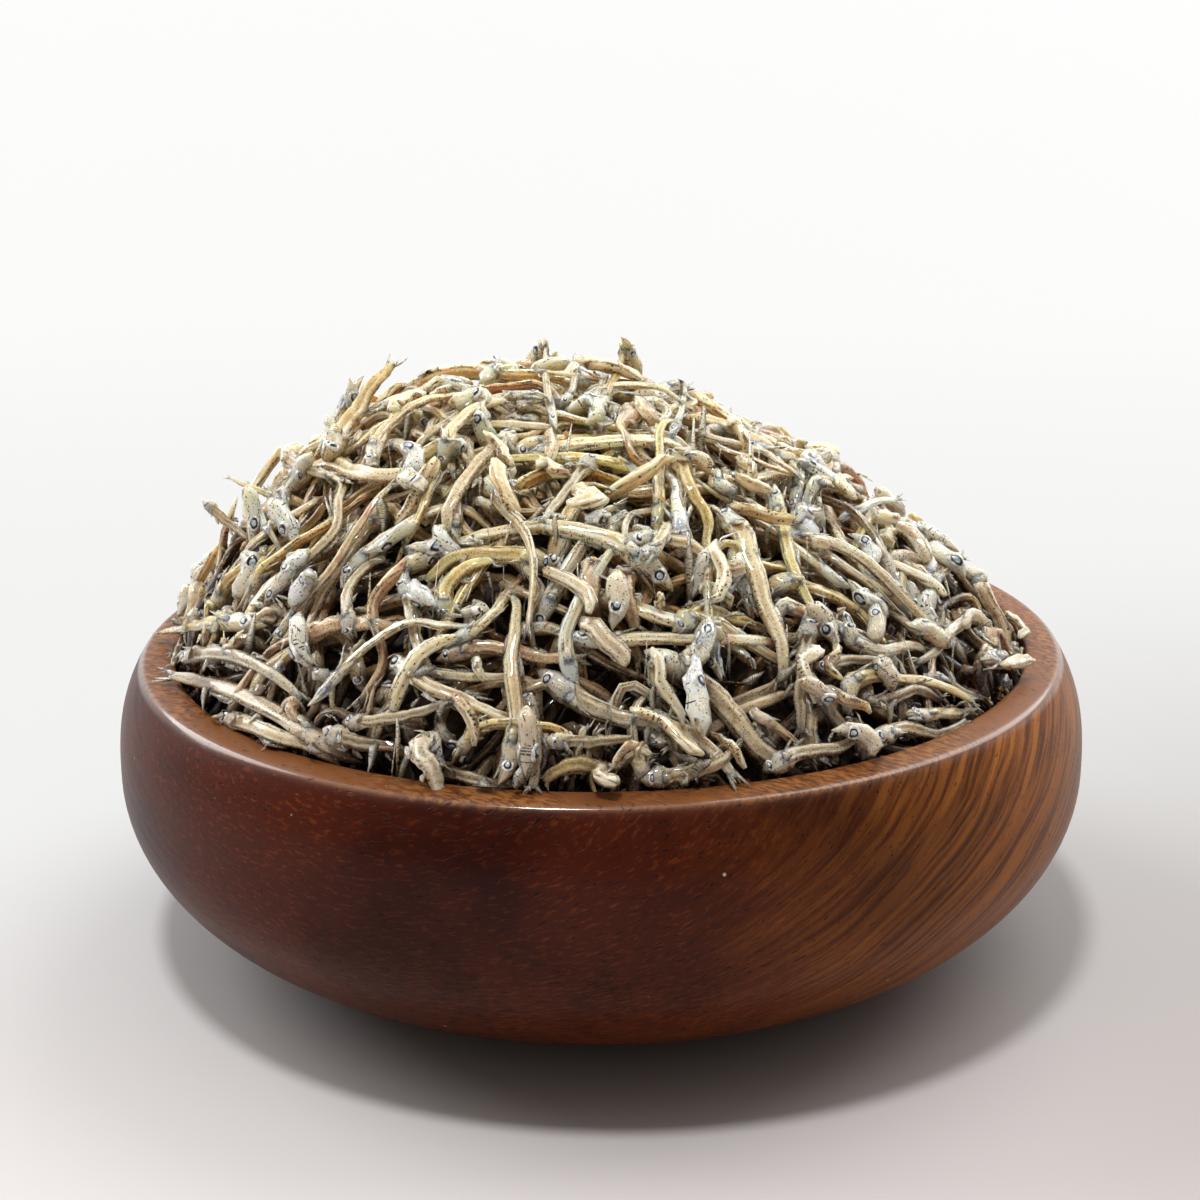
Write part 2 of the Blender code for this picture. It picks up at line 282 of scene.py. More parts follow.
def innerWall(below, above):
    belly = bowlSize["radius"] - bowlSize["wall"]
    top = bowlSize["rimRadius"] - bowlSize["rimWidth"]
    middle, high = bowlSize["bellyHeight"], bowlSize["height"] + bowlSize["rimCrown"]
    low = quarterBend(bowlSize["innerFloorRadius"], belly, bowlSize["floor"], middle, below)
    return np.vstack([low, drawnIn(belly, top, middle, high, above)])


innerProfile = innerWall(24, 14)


def innerRadiusAt(height):
    return np.interp(height, innerProfile[:, 1], innerProfile[:, 0])


# replaces the corner between two runs of points by a small curve
def joinRounded(first, second, size, steps=5):
    corner = first[-1]
    start = corner + (first[-2] - corner) / np.linalg.norm(first[-2] - corner) * size
    end = corner + (second[0] - corner) / np.linalg.norm(second[0] - corner) * size
    t = np.linspace(0.0, 1.0, steps)[:, None]
    curve = (1 - t) ** 2 * start + 2 * t * (1 - t) * corner + t ** 2 * end
    kept = first[:-1][np.linalg.norm(first[:-1] - corner, axis=1) > size]
    return np.vstack([kept, curve, second[np.linalg.norm(second - corner, axis=1) > size]])


def latheMesh(name, profile, segments):
    angles = np.linspace(0.0, 2 * math.pi, segments, endpoint=False)
    rings = [
        np.column_stack([radius * np.cos(angles), radius * np.sin(angles), np.full(segments, height)])
        for radius, height in profile[1:-1]
    ]
    return ringMesh(name, rings, [(0.0, 0.0, profile[0][1]), (0.0, 0.0, profile[-1][1])])


wood = {
    "dark": "#2a0903", "red": "#451808", "copper": "#743815", "gold": "#a3642b", "line": "#1f0803",
    "rimDark": "#57301a", "rim": "#8a5a2c", "rimDull": "#6f4424", "pore": "#180704", "dust": "#d8c6b4",
    "pith": (0.0, 0.050, -0.140),    # the log's middle, under the bowl
    "tilt": (0.0, 15.0, 9.0),        # of the log's length from +X, degrees
    "sway": 0.006,                   # how far its rings waver
    "roughness": 0.40,
}


# oiled acacia: dark red-brown with coppery flecks, golden streaks that rise to the right and
# wavy dark lines, short pores, a rim coloured brighter on top and a dull shine
def woodMaterial():
    material, tree, shader = newMaterial("oiledAcacia", {
        "Coat Roughness": 0.14, "IOR": 1.45, "Specular IOR Level": 0.12,
    })
    place = objectPlace(tree)
    x, _, z = split(place)
    turn = [math.radians(angle) for angle in wood["tilt"]]
    log = addValue(tree, "ShaderNodeMapping", {"Rotation": turn}, {"Vector": place})
    sway = noise(stretched(log, (14.0, 30.0, 30.0)), 1.0, 3.0, 0.5)
    along, side, rise = split(log)
    side = side - wood["pith"][1]
    rise = rise - wood["pith"][2]
    ring = calc("SQRT", side * side + rise * rise) + sway * wood["sway"]
    grain = joined(along, ring, side)

    bands = noise(stretched(grain, (16.0, 330.0, 22.0)), 1.0, 4.0, 0.65)
    streaks = noise(stretched(grain, (50.0, 1300.0, 70.0)), 1.0, 4.0, 0.62)
    flecks = noise(stretched(grain, (620.0, 3000.0, 900.0)), 1.0, 3.0, 0.6)
    pores = fade(noise(stretched(grain, (520.0, 4200.0, 1500.0)), 1.0, 1.0), 0.66, 0.73)
    cloud = noise(place, 30.0, 3.0, 0.55)
    east = fade(x + (cloud - 0.5) * 0.05, 0.008, 0.064)

    colour = mixColour(fade(cloud, 0.38, 0.62), wood["dark"], wood["red"])
    sparse = fade(cloud, 0.4, 0.64) * 0.35 + 0.2
    colour = mixColour(fade(flecks, 0.52, 0.7) * sparse, colour, wood["copper"])
    low = fade(z, 0.034, 0.008) * (fade(flecks, 0.4, 0.6) * 0.3 + 0.12)
    colour = mixColour(low, colour, wood["copper"])
    golden = fade(bands, 0.4, 0.62) * 0.26 + fade(streaks, 0.42, 0.6) * 0.42 + 0.24
    colour = mixColour(east * golden, colour, wood["gold"])
    lines = fade(streaks, 0.48, 0.36) * (east * 0.28 + 0.14)
    colour = mixColour(lines, colour, wood["line"])
    rimTone = mixColour(fade(flecks, 0.4, 0.62), wood["rimDark"], wood["rim"])
    rimTone = mixColour(fade(cloud, 0.46, 0.6), rimTone, wood["rimDull"])
    colour = mixColour(fade(z, 0.0452, 0.0459) * 0.9, colour, rimTone)
    colour = mixColour(pores * 0.75, colour, wood["pore"])
    away, chances = cellsOf(place, 520.0)
    specks = fade(away, 0.16, 0.06) * fade(chances[0], 0.962, 0.97)
    colour = mixColour(specks * 0.75, colour, wood["dust"])
    plug(shader, "Base Color", colour)
    plug(shader, "Roughness", streaks * 0.2 + (wood["roughness"] - 0.1))
    polished = fade(z, 0.0446, 0.0454) * fade(z, 0.0461, 0.0459)
    plug(shader, "Coat Weight", polished * 0.85 + 0.04)
    addBump(shader, streaks * 0.4 + flecks * 0.4 - pores, 0.00006)
    return material


def makeBowl():
    belly, middle = bowlSize["radius"], bowlSize["bellyHeight"]
    outside = np.vstack([
        quarterBend(bowlSize["footRadius"], belly, 0.0, middle, 30),
        drawnIn(belly, bowlSize["rimRadius"], middle, bowlSize["height"], 16),
    ])
    inside = innerProfile[::-1]
    profile = joinRounded(outside, inside, bowlSize["outerEdge"])
    corner = len(profile) - len(inside)
    profile = joinRounded(profile[:corner + 1], profile[corner + 1:], bowlSize["innerEdge"])
    profile = np.vstack([[(0.0, 0.0)], profile, [(0.0, bowlSize["floor"])]])
    mesh = latheMesh("turnedBowl", profile, bowlSize["segments"])
    bowl = meshObject("turnedBowl", mesh, woodMaterial())
    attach(bowl, "root")
    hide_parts("wooden_bowl")
    print("bowl turned", len(bowl.data.polygons), "faces")


# The heap's shape: a dome whose top is left of the bowl's middle.

heap = {
    "edge": 0.0412, "tilt": 0.0032, "rise": 0.0398, "topOffset": (-0.0140, 0.0020), "shoulder": 2.25,
    "coreDepth": 0.0085,       # the core stays this far under that dome
    "roof": 0.0031,            # and the fish may reach this far above it
    # each layer: fish at most, how far under the roof they stay, and places tried for each
    "below": (900, 0.0080, 3), "between": (700, 0.0048, 4),
    "above": (1100, 0.0022, 8), "last": (260, 0.0003, 8),
    "lengths": (0.022, 0.043),
    "girths": (0.54, 1.46),
    "stiffness": 0.70,
    "dive": 0.0013,            # how far fish weave up and down
    "roll": 48.0,              # degrees that fish are turned off their flat side
    "kinks": 0.0011, "wrinkles": 0.0003,
    "seed": 12,
}
samples = 25                   # points along each fish
# what breaks off when dried fish are tipped out: how many, how long, and half how thick
brokenBits = {
    "trunks": {"count": 110, "lengths": (0.005, 0.013), "thickness": 0.0010, "sink": 0.4},
    "heads": {"count": 120, "lengths": (0.0070, 0.0090), "thickness": 0.0012, "sink": 0.5},
    "wisps": {"count": 900, "lengths": (0.002, 0.005), "thickness": 0.0003, "lift": 0.25},
    "crumbs": {"count": 9, "lengths": (0.0012, 0.0024), "thickness": 0.0004, "girths": (0.30, 0.50)},
}


def edgeHeight(x, y):
    across = (x + y) / (math.sqrt(2.0) * np.maximum(np.hypot(x, y), 1e-9))
    return heap["edge"] - heap["tilt"] * across


# 0 at the heap's top, 1 at the bowl's wall
def heapShare(x, y):
    edge = innerRadiusAt(heap["edge"])
    topX, topY = heap["topOffset"]
    fromX, fromY = x - topX, y - topY
    a = edge ** 2 - topX ** 2 - topY ** 2
    b = fromX * topX + fromY * topY
    return np.minimum((b + np.sqrt(b * b + a * (fromX ** 2 + fromY ** 2))) / a, 1.0)


def domeHeight(x, y):
    low = edgeHeight(x, y)
    top = heap["edge"] + heap["rise"]
    return low + (top - low) * (1.0 - heapShare(x, y) ** heap["shoulder"])


def roofHeight(x, y):
    return domeHeight(x, y) + heap["roof"] * (1.0 - 0.55 * heapShare(x, y) ** 4)


def domeNormal(x, y):
    step = 0.0015
    slopeX = (domeHeight(x + step, y) - domeHeight(x - step, y)) / (2 * step)
    slopeY = (domeHeight(x, y + step) - domeHeight(x, y - step)) / (2 * step)
    normal = np.column_stack([-slopeX, -slopeY, np.ones(len(np.atleast_1d(x)))])
    return normal / np.linalg.norm(normal, axis=1)[:, None]


# what a fish comes to rest on, as heights on a square grid
class Ground:
    def __init__(self, reach=0.078, cell=0.0005):
        self.reach, self.cell = reach, cell
        axis = np.arange(-reach, reach + cell / 2, cell)
        self.x, self.y = np.meshgrid(axis, axis, indexing="ij")
        radius = np.hypot(self.x, self.y)
        self.inside = radius < innerRadiusAt(heap["edge"]) - 0.0004
        rimTop = bowlSize["height"] + bowlSize["rimCrown"]
        self.height = np.where(radius < bowlSize["rimRadius"], rimTop, -1.0)
        self.height = np.where(self.inside, domeHeight(self.x, self.y) - heap["coreDepth"], self.height)
        self.roof = roofHeight(self.x, self.y)

    def cells(self, points):
        index = np.rint((points + self.reach) / self.cell).astype(int)
        return np.clip(index, 0, len(self.height) - 1)

    def at(self, plan):
        index = self.cells(plan[..., :2])
        return self.height[index[..., 0], index[..., 1]]

    # raises the ground to the back of a fish of these half widths and half heights
    def add(self, line, across, up):
        fine = np.linspace(0, len(line) - 1, 3 * len(line))
        index = np.arange(len(line))
        spots = np.column_stack([np.interp(fine, index, line[:, k]) for k in range(3)])
        wide, tall = np.interp(fine, index, across), np.interp(fine, index, up)
        size = len(self.height)
        for (x, y, z), a, b in zip(spots, wide, tall):
            row, column = self.cells(np.array([x, y]))
            reach = int(math.ceil(a / self.cell))
            rows = slice(max(row - reach, 0), min(row + reach + 1, size))
            columns = slice(max(column - reach, 0), min(column + reach + 1, size))
            offset = ((self.x[rows, columns] - x) ** 2 + (self.y[rows, columns] - y) ** 2) / a ** 2
            back = np.where(offset < 1.0, z + b * np.sqrt(np.maximum(1.0 - offset, 0.0)), -1.0)
            self.height[rows, columns] = np.maximum(self.height[rows, columns], back)

    # how deep points lie under the fish about them, square to the dome
    def depthOf(self, points):
        over = np.where(self.inside, self.height - domeHeight(self.x, self.y), -0.002)
        around = range(-3, 4)
        highest = np.max([np.roll(over, (i, j), (0, 1)) for i in around for j in around], axis=0)
        highest = np.mean([np.roll(highest, (i, j), (0, 1)) for i in around for j in around], axis=0)
        index = self.cells(points[:, :2])
        own = points[:, 2] - domeHeight(points[:, 0], points[:, 1])
        return (highest[index[:, 0], index[:, 1]] - own) * domeNormal(points[:, 0], points[:, 1])[:, 2]


# heights of a thread pulled tight over a row of heights
def tautOver(along, need):
    kept = []
    for point in zip(along, need):
        while len(kept) > 1:
            (x0, z0), (x1, z1) = kept[-2], kept[-1]
            if (z1 - z0) * (point[0] - x0) > (point[1] - z0) * (x1 - x0):
                break
            kept.pop()
        kept.append(point)
    return np.interp(along, [x for x, _ in kept], [z for _, z in kept])


def smoothed(values, times=2):
    for _ in range(times):
        padded = np.concatenate([values[:1], values, values[-1:]])
        values = 0.25 * padded[:-2] + 0.5 * padded[1:-1] + 0.25 * padded[2:]
    return values


# A fish's build: share of its length, half height and half width in mm at 38 mm long.

bodyStations = np.array([
    (0.000, 0.22, 0.20), (0.015, 0.52, 0.42), (0.035, 0.90, 0.74), (0.060, 1.24, 0.98), (0.090, 1.48, 1.12),
    (0.125, 1.62, 1.18), (0.165, 1.72, 1.18), (0.200, 1.72, 1.12), (0.225, 1.46, 0.92), (0.300, 1.32, 0.82),
    (0.400, 1.27, 0.78), (0.500, 1.22, 0.76), (0.600, 1.14, 0.71), (0.700, 1.04, 0.64), (0.790, 0.92, 0.54),
    (0.860, 0.80, 0.43), (0.905, 0.71, 0.33), (0.930, 0.60, 0.19), (0.945, 0.24, 0.08),
])
fishLength = 0.038
fishMm = fishLength * 1000
mm = 0.001


def bodyHalf(share):
    tall = np.interp(share, bodyStations[:, 0], bodyStations[:, 1]) * mm
    wide = np.interp(share, bodyStations[:, 0], bodyStations[:, 2]) * mm
    return tall, wide


# half extents beside and above the centreline of a fish rolled off its flat side
def restExtents(girth, roll):
    tall, wide = bodyHalf(np.linspace(0.0, 1.0, samples))
    c, s = np.cos(roll), np.sin(roll)
    return girth * np.hypot(tall * c, wide * s), girth * np.hypot(wide * c, tall * s)


def bentPlan(draw, length, heading=None):
    along = np.linspace(-0.5, 0.5, samples)
    start = draw.uniform(0.0, 2 * math.pi) if heading is None else draw.gauss(heading, 0.6)
    curl = draw.gauss(0.0, 2.4 if draw.random() < 0.40 else 0.8)
    turn = start + curl * along
    for waves, size in ((draw.uniform(0.7, 1.4), 0.55), (draw.uniform(1.8, 3.2), 0.22)):
        turn = turn + draw.gauss(0.0, size) * np.sin(2 * math.pi * (waves * along + draw.random()))
    hook = draw.gauss(0.0, 9.0) * np.maximum(along * draw.choice((-1, 1)) - 0.05, 0.0) ** 2
    turn = turn + hook
    steps = np.column_stack([np.cos(turn), np.sin(turn)]) * length / (samples - 1)
    plan = np.cumsum(steps, axis=0)
    return plan - plan.mean(axis=0)


# slow ups and downs that make a fish dive under its neighbours and come out again
def diving(draw, size):
    along = np.linspace(0.0, 1.0, samples)
    turn = 2 * math.pi * (draw.uniform(0.35, 0.95) * along + draw.random())
    return draw.gauss(0.0, size) * np.sin(turn)


# lays a fish about a place in plan; where the ground slopes it is foreshortened in plan
def layDown(ground, middle, shape, length, across, up, stiffness):
    along = np.linspace(-1.0, 1.0, samples)
    scale = 1.0
    for _ in range(3):
        plan = middle + shape * scale
        tangent = np.gradient(plan, axis=0)
        tangent /= np.maximum(np.linalg.norm(tangent, axis=1)[:, None], 1e-9)
        beside = np.column_stack([-tangent[:, 1], tangent[:, 0]]) * across[:, None]
        steep = np.minimum(1.0 / domeNormal(plan[:, 0], plan[:, 1])[:, 2], 2.2)
        need = np.max([
            ground.at(plan + beside * k) + up * steep * math.sqrt(1.0 - k * k) for k in (-0.8, 0.0, 0.8)
        ], axis=0)
        draped = tautOver(along, need)
        mid = samples // 2
        slope = (draped[mid + 3] - draped[mid - 3]) / (along[mid + 3] - along[mid - 3])
        straight = draped[mid] + slope * (along - along[mid])
        straight += max(float((draped - straight).max()), 0.0)
        height = draped + stiffness * (straight - draped)
        line = np.column_stack([plan, smoothed(height)])
        scale *= length / np.linalg.norm(np.diff(line, axis=0), axis=1).sum()
    return line


def clearOfBowl(line, across, up):
    radius = np.hypot(line[:, 0], line[:, 1]) + across
    low = line[:, 2] - up < bowlSize["height"] + bowlSize["rimCrown"]
    hits = low & (radius > innerRadiusAt(line[:, 2]) - 0.0003)
    return not np.any(hits) and radius.max() < bowlSize["rimRadius"] - 0.002


def rolled(normals, line, angles):
    tangent = np.gradient(line, axis=0)
    tangent /= np.linalg.norm(tangent, axis=1)[:, None]
    flat = normals - tangent * np.sum(normals * tangent, axis=1)[:, None]
    flat /= np.maximum(np.linalg.norm(flat, axis=1)[:, None], 1e-9)
    side = np.cross(tangent, flat)
    return flat * np.cos(angles)[:, None] + side * np.sin(angles)[:, None]


kinds = ("pale", "cream", "grey", "yellow", "brown")
kindShares = (0.26, 0.24, 0.23, 0.18, 0.09)


def addFish(shoal, ground, line, girth, roll, across, up, kind, draw, normals=None, dive=0.0):
    twist = np.linspace(-0.5, 0.5, samples) * draw.gauss(0.0, 0.7)
    if normals is None:
        normals = domeNormal(line[:, 0], line[:, 1])
    shown = line.copy()
    shown[:, 2] += diving(draw, dive)
    shoal.append({
        "line": shown, "normals": rolled(normals, line, roll + twist), "girth": girth,
        "kind": kind, "chance": [draw.random() for _ in range(3)],
    })
    ground.add(line, across, up)


# fills the heap up to a level under its roof, the lowest places first
def fillHeap(shoal, ground, draw, count, under, tries, only=None):
    laid = 0
    for _ in range(count):
        lack = np.where(ground.inside, np.maximum(ground.roof - under - ground.height, 0.0), 0.0) ** 2
        level = np.cumsum(lack.ravel())
        if level[-1] <= 0.0:
            break
        spot = np.searchsorted(level, draw.random() * level[-1])
        middle = np.array([ground.x.ravel()[spot], ground.y.ravel()[spot]])
        grown = draw.betavariate(1.6, 2.4)
        thinnest, thickest = heap["girths"]
        girth = thinnest + (thickest - thinnest) * grown
        shortest, longest = heap["lengths"]
        length = shortest + (longest - shortest) * (0.5 * grown + 0.5 * draw.random())
        roll = math.radians(draw.gauss(0.0, heap["roll"]))
        if draw.random() < 0.5:
            roll += math.pi
        across, up = restExtents(girth, roll)
        # near the wall most fish lie along it
        beside = draw.random() < 0.95 * float(heapShare(*middle)) ** 2
        heading = math.atan2(middle[0], -middle[1]) if beside else None
        best, least = None, 0.0035
        for _ in range(tries):
            shape = bentPlan(draw, length, heading)
            stiffness = draw.random() * heap["stiffness"]
            away = 1.0
            for _ in range(7):
                line = layDown(ground, middle * away, shape, length, across, up, stiffness)
                if clearOfBowl(line, across, up):
                    break
                away -= 0.05
            else:
                continue
            over = line[:, 2] + up - roofHeight(line[:, 0], line[:, 1]) + under
            score = float(np.mean(over)) + 1.5 * max(float(over.max()) - 0.003, 0.0)
            if score < least:
                best, least = line, score
        if best is not None:
            kind = only or draw.choices(kinds, kindShares)[0]
            addFish(shoal, ground, best, girth, roll, across, up, kind, draw, dive=heap["dive"])
            laid += 1
    return laid


# strews small things over the heap, most where it is still low; each follows the ground
def strew(ground, draw, count, lengths, thickness, sink=0.0, lift=0.35, girths=(0.75, 1.15)):
    bits = []
    lack = np.where(ground.inside, np.maximum(ground.roof - ground.height, 0.0) + 0.001, 0.0) ** 2
    level = np.cumsum(lack.ravel())
    while len(bits) < count:
        spot = np.searchsorted(level, draw.random() * level[-1])
        middle = np.array([ground.x.ravel()[spot], ground.y.ravel()[spot]])
        length = draw.uniform(*lengths)
        girth = draw.uniform(*girths)
        half = np.full(samples, thickness * girth)
        line = layDown(ground, middle, bentPlan(draw, length), length, half, half, draw.random())
        line[:, 2] += np.linspace(-0.5, 0.5, samples) * length * draw.uniform(-lift, lift) - sink * half
        if clearOfBowl(line, half, half):
            roll = np.full(samples, draw.uniform(0.0, 2 * math.pi))
            bits.append({
                "line": line, "normals": rolled(domeNormal(line[:, 0], line[:, 1]), line, roll),
                "girth": girth, "chance": [draw.random() for _ in range(3)],
            })
    return bits


# Fish that the photograph shows one by one: pixels from snout to tail, girth and kind.

shownFish = {
    "frontCrossing": (((672, 592), (622, 546), (553, 527), (500, 532), (438, 545)), 1.15, "pale"),
    "besideCrossing": (((556, 566), (502, 554), (451, 560), (420, 588)), 0.95, "yellow"),
    "leftHook": (((512, 432), (476, 470), (450, 505), (446, 545)), 1.10, "grey"),
    "slantUp": (((594, 455), (566, 490), (538, 528)), 0.75, "pale"),
    "upperBow": (((676, 447), (690, 485), (707, 521), (706, 556)), 0.90, "yellow"),
    "wave": (((624, 540), (668, 539), (700, 552), (716, 582), (742, 566)), 0.78, "pale"),
    "longSlant": (((772, 485), (784, 530), (795, 572), (822, 622)), 0.75, "yellow"),
    "upperArc": (((469, 449), (440, 446), (412, 462), (400, 490)), 0.85, "pale"),
    "lowerCentre": (((536, 670), (579, 700), (624, 718), (670, 726), (708, 745), (744, 790)), 1.00, "pale"),
    "longFlat": (((560, 633), (600, 641), (655, 640), (720, 640), (798, 643)), 0.80, "pale"),
    "humpBehind": (((672, 632), (704, 611), (735, 619), (772, 633)), 0.95, "yellow"),
    "brownBand": (((436, 660), (487, 648), (530, 656), (592, 660)), 0.80, "brown"),
    "speckledDown": (((404, 572), (410, 610), (416, 645), (440, 684)), 0.80, "grey"),
    "downHead": (((442, 620), (448, 585), (470, 566), (500, 560)), 0.90, "yellow"),
    "greyDown": (((522, 692), (533, 725), (536, 760), (534, 796)), 0.85, "grey"),
    "whiteFlat": (((545, 742), (590, 742), (640, 738)), 0.75, "pale"),
    "greenCurl": (((610, 780), (585, 765), (558, 770), (540, 784)), 0.95, "yellow"),
    "smallCurl": (((660, 650), (654, 680), (674, 700), (668, 722)), 0.60, "yellow"),
    "pinkLeft": (((596, 560), (590, 590), (598, 626)), 1.10, "brown"),
    "pinkRight": (((620, 568), (628, 600), (636, 634)), 1.10, "brown"),
    "headDown": (((694, 680), (690, 655), (720, 640)), 0.85, "grey"),
    "leftLong": (((180, 656), (228, 656), (279, 679), (314, 712)), 0.90, "grey"),
    "rimTail": (((366, 764), (320, 738), (255, 703), (212, 684), (155, 674)), 1.00, "grey"),
    "rimHead": (((218, 716), (262, 730), (318, 752), (350, 768)), 0.85, "pale"),
    "leftFlat": (((342, 722), (393, 718), (458, 700)), 0.75, "pale"),
    "leftUpper": (((292, 640), (340, 625), (402, 626)), 0.95, "brown"),
    "yellowLeft": (((268, 625), (235, 622), (202, 625), (151, 634)), 0.95, "yellow"),
    "rightWavy": (((843, 622), (853, 640), (884, 650), (914, 644), (932, 655)), 0.80, "pale"),
    "rightHead": (((978, 612), (955, 628), (930, 655), (905, 668)), 0.80, "grey"),
    "rightDown": (((812, 612), (803, 660), (800, 700), (803, 742)), 0.85, "grey"),
    "rightFlat": (((815, 668), (850, 660), (888, 662)), 0.80, "pale"),
    "rightSlant": (((815, 690), (838, 720), (865, 752)), 0.75, "pale"),
    "rightArc": (((842, 690), (879, 703), (917, 690), (946, 704)), 0.80, "grey"),
    "rightTail": (((905, 716), (940, 713), (980, 713)), 0.70, "yellow"),
    "rimFlatFront": (((640, 778), (682, 776), (716, 764), (742, 748)), 0.85, "pale"),
    "rimFlatLeft": (((428, 764), (466, 778), (500, 784), (532, 780)), 0.85, "cream"),
    "rimFlatRight": (((762, 772), (800, 752), (838, 748), (868, 730)), 0.90, "grey"),
    "rimFlatEast": (((868, 742), (905, 728), (940, 734), (972, 716)), 0.80, "pale"),
    "edgePiece": (((980, 662), (1000, 660), (1022, 666)), 0.95, "grey"),
    "dropLeft": (((352, 640), (346, 600), (366, 566), (392, 556)), 0.75, "grey"),
    "lowLeft": (((322, 730), (352, 742), (395, 748), (430, 760)), 0.90, "pale"),
    "midFan": (((640, 560), (660, 540), (668, 520)), 0.80, "pale"),
    "topLong": (((482, 392), (440, 388), (400, 398), (372, 412)), 0.80, "pale"),
    "topRight": (((742, 440), (770, 452), (800, 462), (832, 474)), 0.75, "grey"),
    "rightBack": (((880, 500), (862, 530), (850, 560)), 0.80, "yellow"),
}
# fish whose tips stand out of the outline
strayFish = {
    "upLeft": (((322, 460), (346, 424), (372, 388), (399, 356)), 1.30, "yellow"),
    "topTip": (((556, 430), (548, 395), (546, 366), (546, 340)), 0.46, "pale"),
    "darkTip": (((560, 410), (572, 388), (578, 366)), 0.46, "grey"),
    "hookTip": (((590, 420), (598, 392), (606, 372), (596, 360)), 0.45, "pale"),
    "highTip": (((596, 415), (612, 384), (628, 346)), 0.56, "yellow"),
    "rightTip": (((668, 445), (680, 414), (687, 380)), 0.50, "pale"),
    "upperBend": (((440, 470), (450, 432), (476, 408), (514, 398)), 0.80, "cream"),
    "leftBend": (((366, 470), (384, 430), (420, 404), (470, 392)), 0.85, "cream"),
    "curvedTail": (((838, 520), (868, 504), (905, 497)), 0.55, "pale"),
    "rightBackTail": (((925, 590), (945, 572), (968, 553)), 0.60, "grey"),
    "leftHead": (((203, 500), (225, 520), (252, 540)), 0.56, "grey"),
    "leftTail": (((282, 500), (252, 488), (224, 476)), 0.44, "pale"),
    "smallWispA": (((268, 535), (262, 515), (256, 500)), 0.40, "pale"),
    "smallWispB": (((285, 530), (278, 512), (268, 498)), 0.40, "yellow"),
    "upperHead": (((286, 460), (310, 470), (338, 480)), 0.75, "grey"),
    "farRight": (((885, 545), (888, 530), (884, 512)), 0.80, "yellow"),
}


def smoothPixels(points):
    points = np.array(points, float)
    if len(points) < 3:
        points = np.array([points[0], points.mean(axis=0), points[1]])
    knots = np.concatenate([[0.0], np.cumsum(np.linalg.norm(np.diff(points, axis=0), axis=1))])
    slopes = np.gradient(points, knots, axis=0)
    at = np.linspace(0.0, knots[-1], samples)
    row = np.clip(np.searchsorted(knots, at, side="right") - 1, 0, len(knots) - 2)
    gap = (knots[row + 1] - knots[row])[:, None]
    t = ((at - knots[row])[:, None]) / gap
    first, last = points[row], points[row + 1]
    return (
        (2 * t ** 3 - 3 * t ** 2 + 1) * first + (t ** 3 - 2 * t ** 2 + t) * gap * slopes[row]
        + (3 * t ** 2 - 2 * t ** 3) * last + (t ** 3 - t ** 2) * gap * slopes[row + 1]
    )


# lays a fish on the heap so that the camera sees it along the given pixels
def layInView(ground, pixels, up):
    eye = np.array([0.0, -view["distance"], view["height"]])
    rays = sightLines(smoothPixels(pixels))
    reach = np.arange(0.21, 0.42, 0.0004)
    spots = eye + rays[:, None, :] * reach[:, None]
    hit = spots[..., 2] <= ground.at(spots) + up[:, None]
    found = hit.any(axis=1)
    if not found.any():
        depth = np.full(samples, view["distance"]) / rays[:, 1]
    else:
        first = reach[hit.argmax(axis=1)]
        level = (eye + rays * first[:, None])[:, 1]
        near = np.flatnonzero(found)
        nearest = near[np.abs(np.arange(samples)[:, None] - near).argmin(axis=1)]
        depth = np.where(found, first, (level[nearest] - eye[1]) / rays[:, 1])
    taut = -tautOver(np.arange(samples), -depth)
    depth = np.minimum(smoothed(0.75 * taut + 0.25 * smoothed(depth, 6), 3), np.where(found, depth, 1.0))
    depth = smoothed(depth, 3)
    return eye + rays * depth[:, None], -rays


def addShown(shoal, ground, table, draw):
    for pixels, girth, kind in table.values():
        roll = math.radians(draw.gauss(0.0, 14.0)) + (math.pi if draw.random() < 0.5 else 0.0)
        across, up = restExtents(girth, roll)
        line, towards = layInView(ground, pixels, up)
        normals = 0.5 * domeNormal(line[:, 0], line[:, 1]) + 0.5 * towards
        addFish(shoal, ground, line, girth, roll, across, up, kind, draw, normals)


# Template fish: straight, snout at x = 0 and tail at x = 1, flanks along y and back along z.

templates = {
    "plain": {"mouth": 0.0, "belly": 1.00, "fold": 0.80, "fins": 1.00, "uneven": 0.03, "seed": 3},
    "gaping": {"mouth": 1.0, "belly": 0.94, "fold": 1.00, "fins": 0.80, "uneven": 0.04, "seed": 7},
    "shrunken": {"mouth": 0.3, "belly": 0.80, "fold": 1.40, "fins": 1.25, "uneven": 0.06, "seed": 5},
    "plump": {"mouth": 0.5, "belly": 1.12, "fold": 0.50, "fins": 0.65, "uneven": 0.03, "seed": 9},
}
# one flank from back to belly, as shares of half height and half width: two ridges and a groove
flankShape = ((0.86, 0.40), (0.52, 0.98), (0.10, 0.66), (-0.38, 1.04), (-0.82, 0.52))


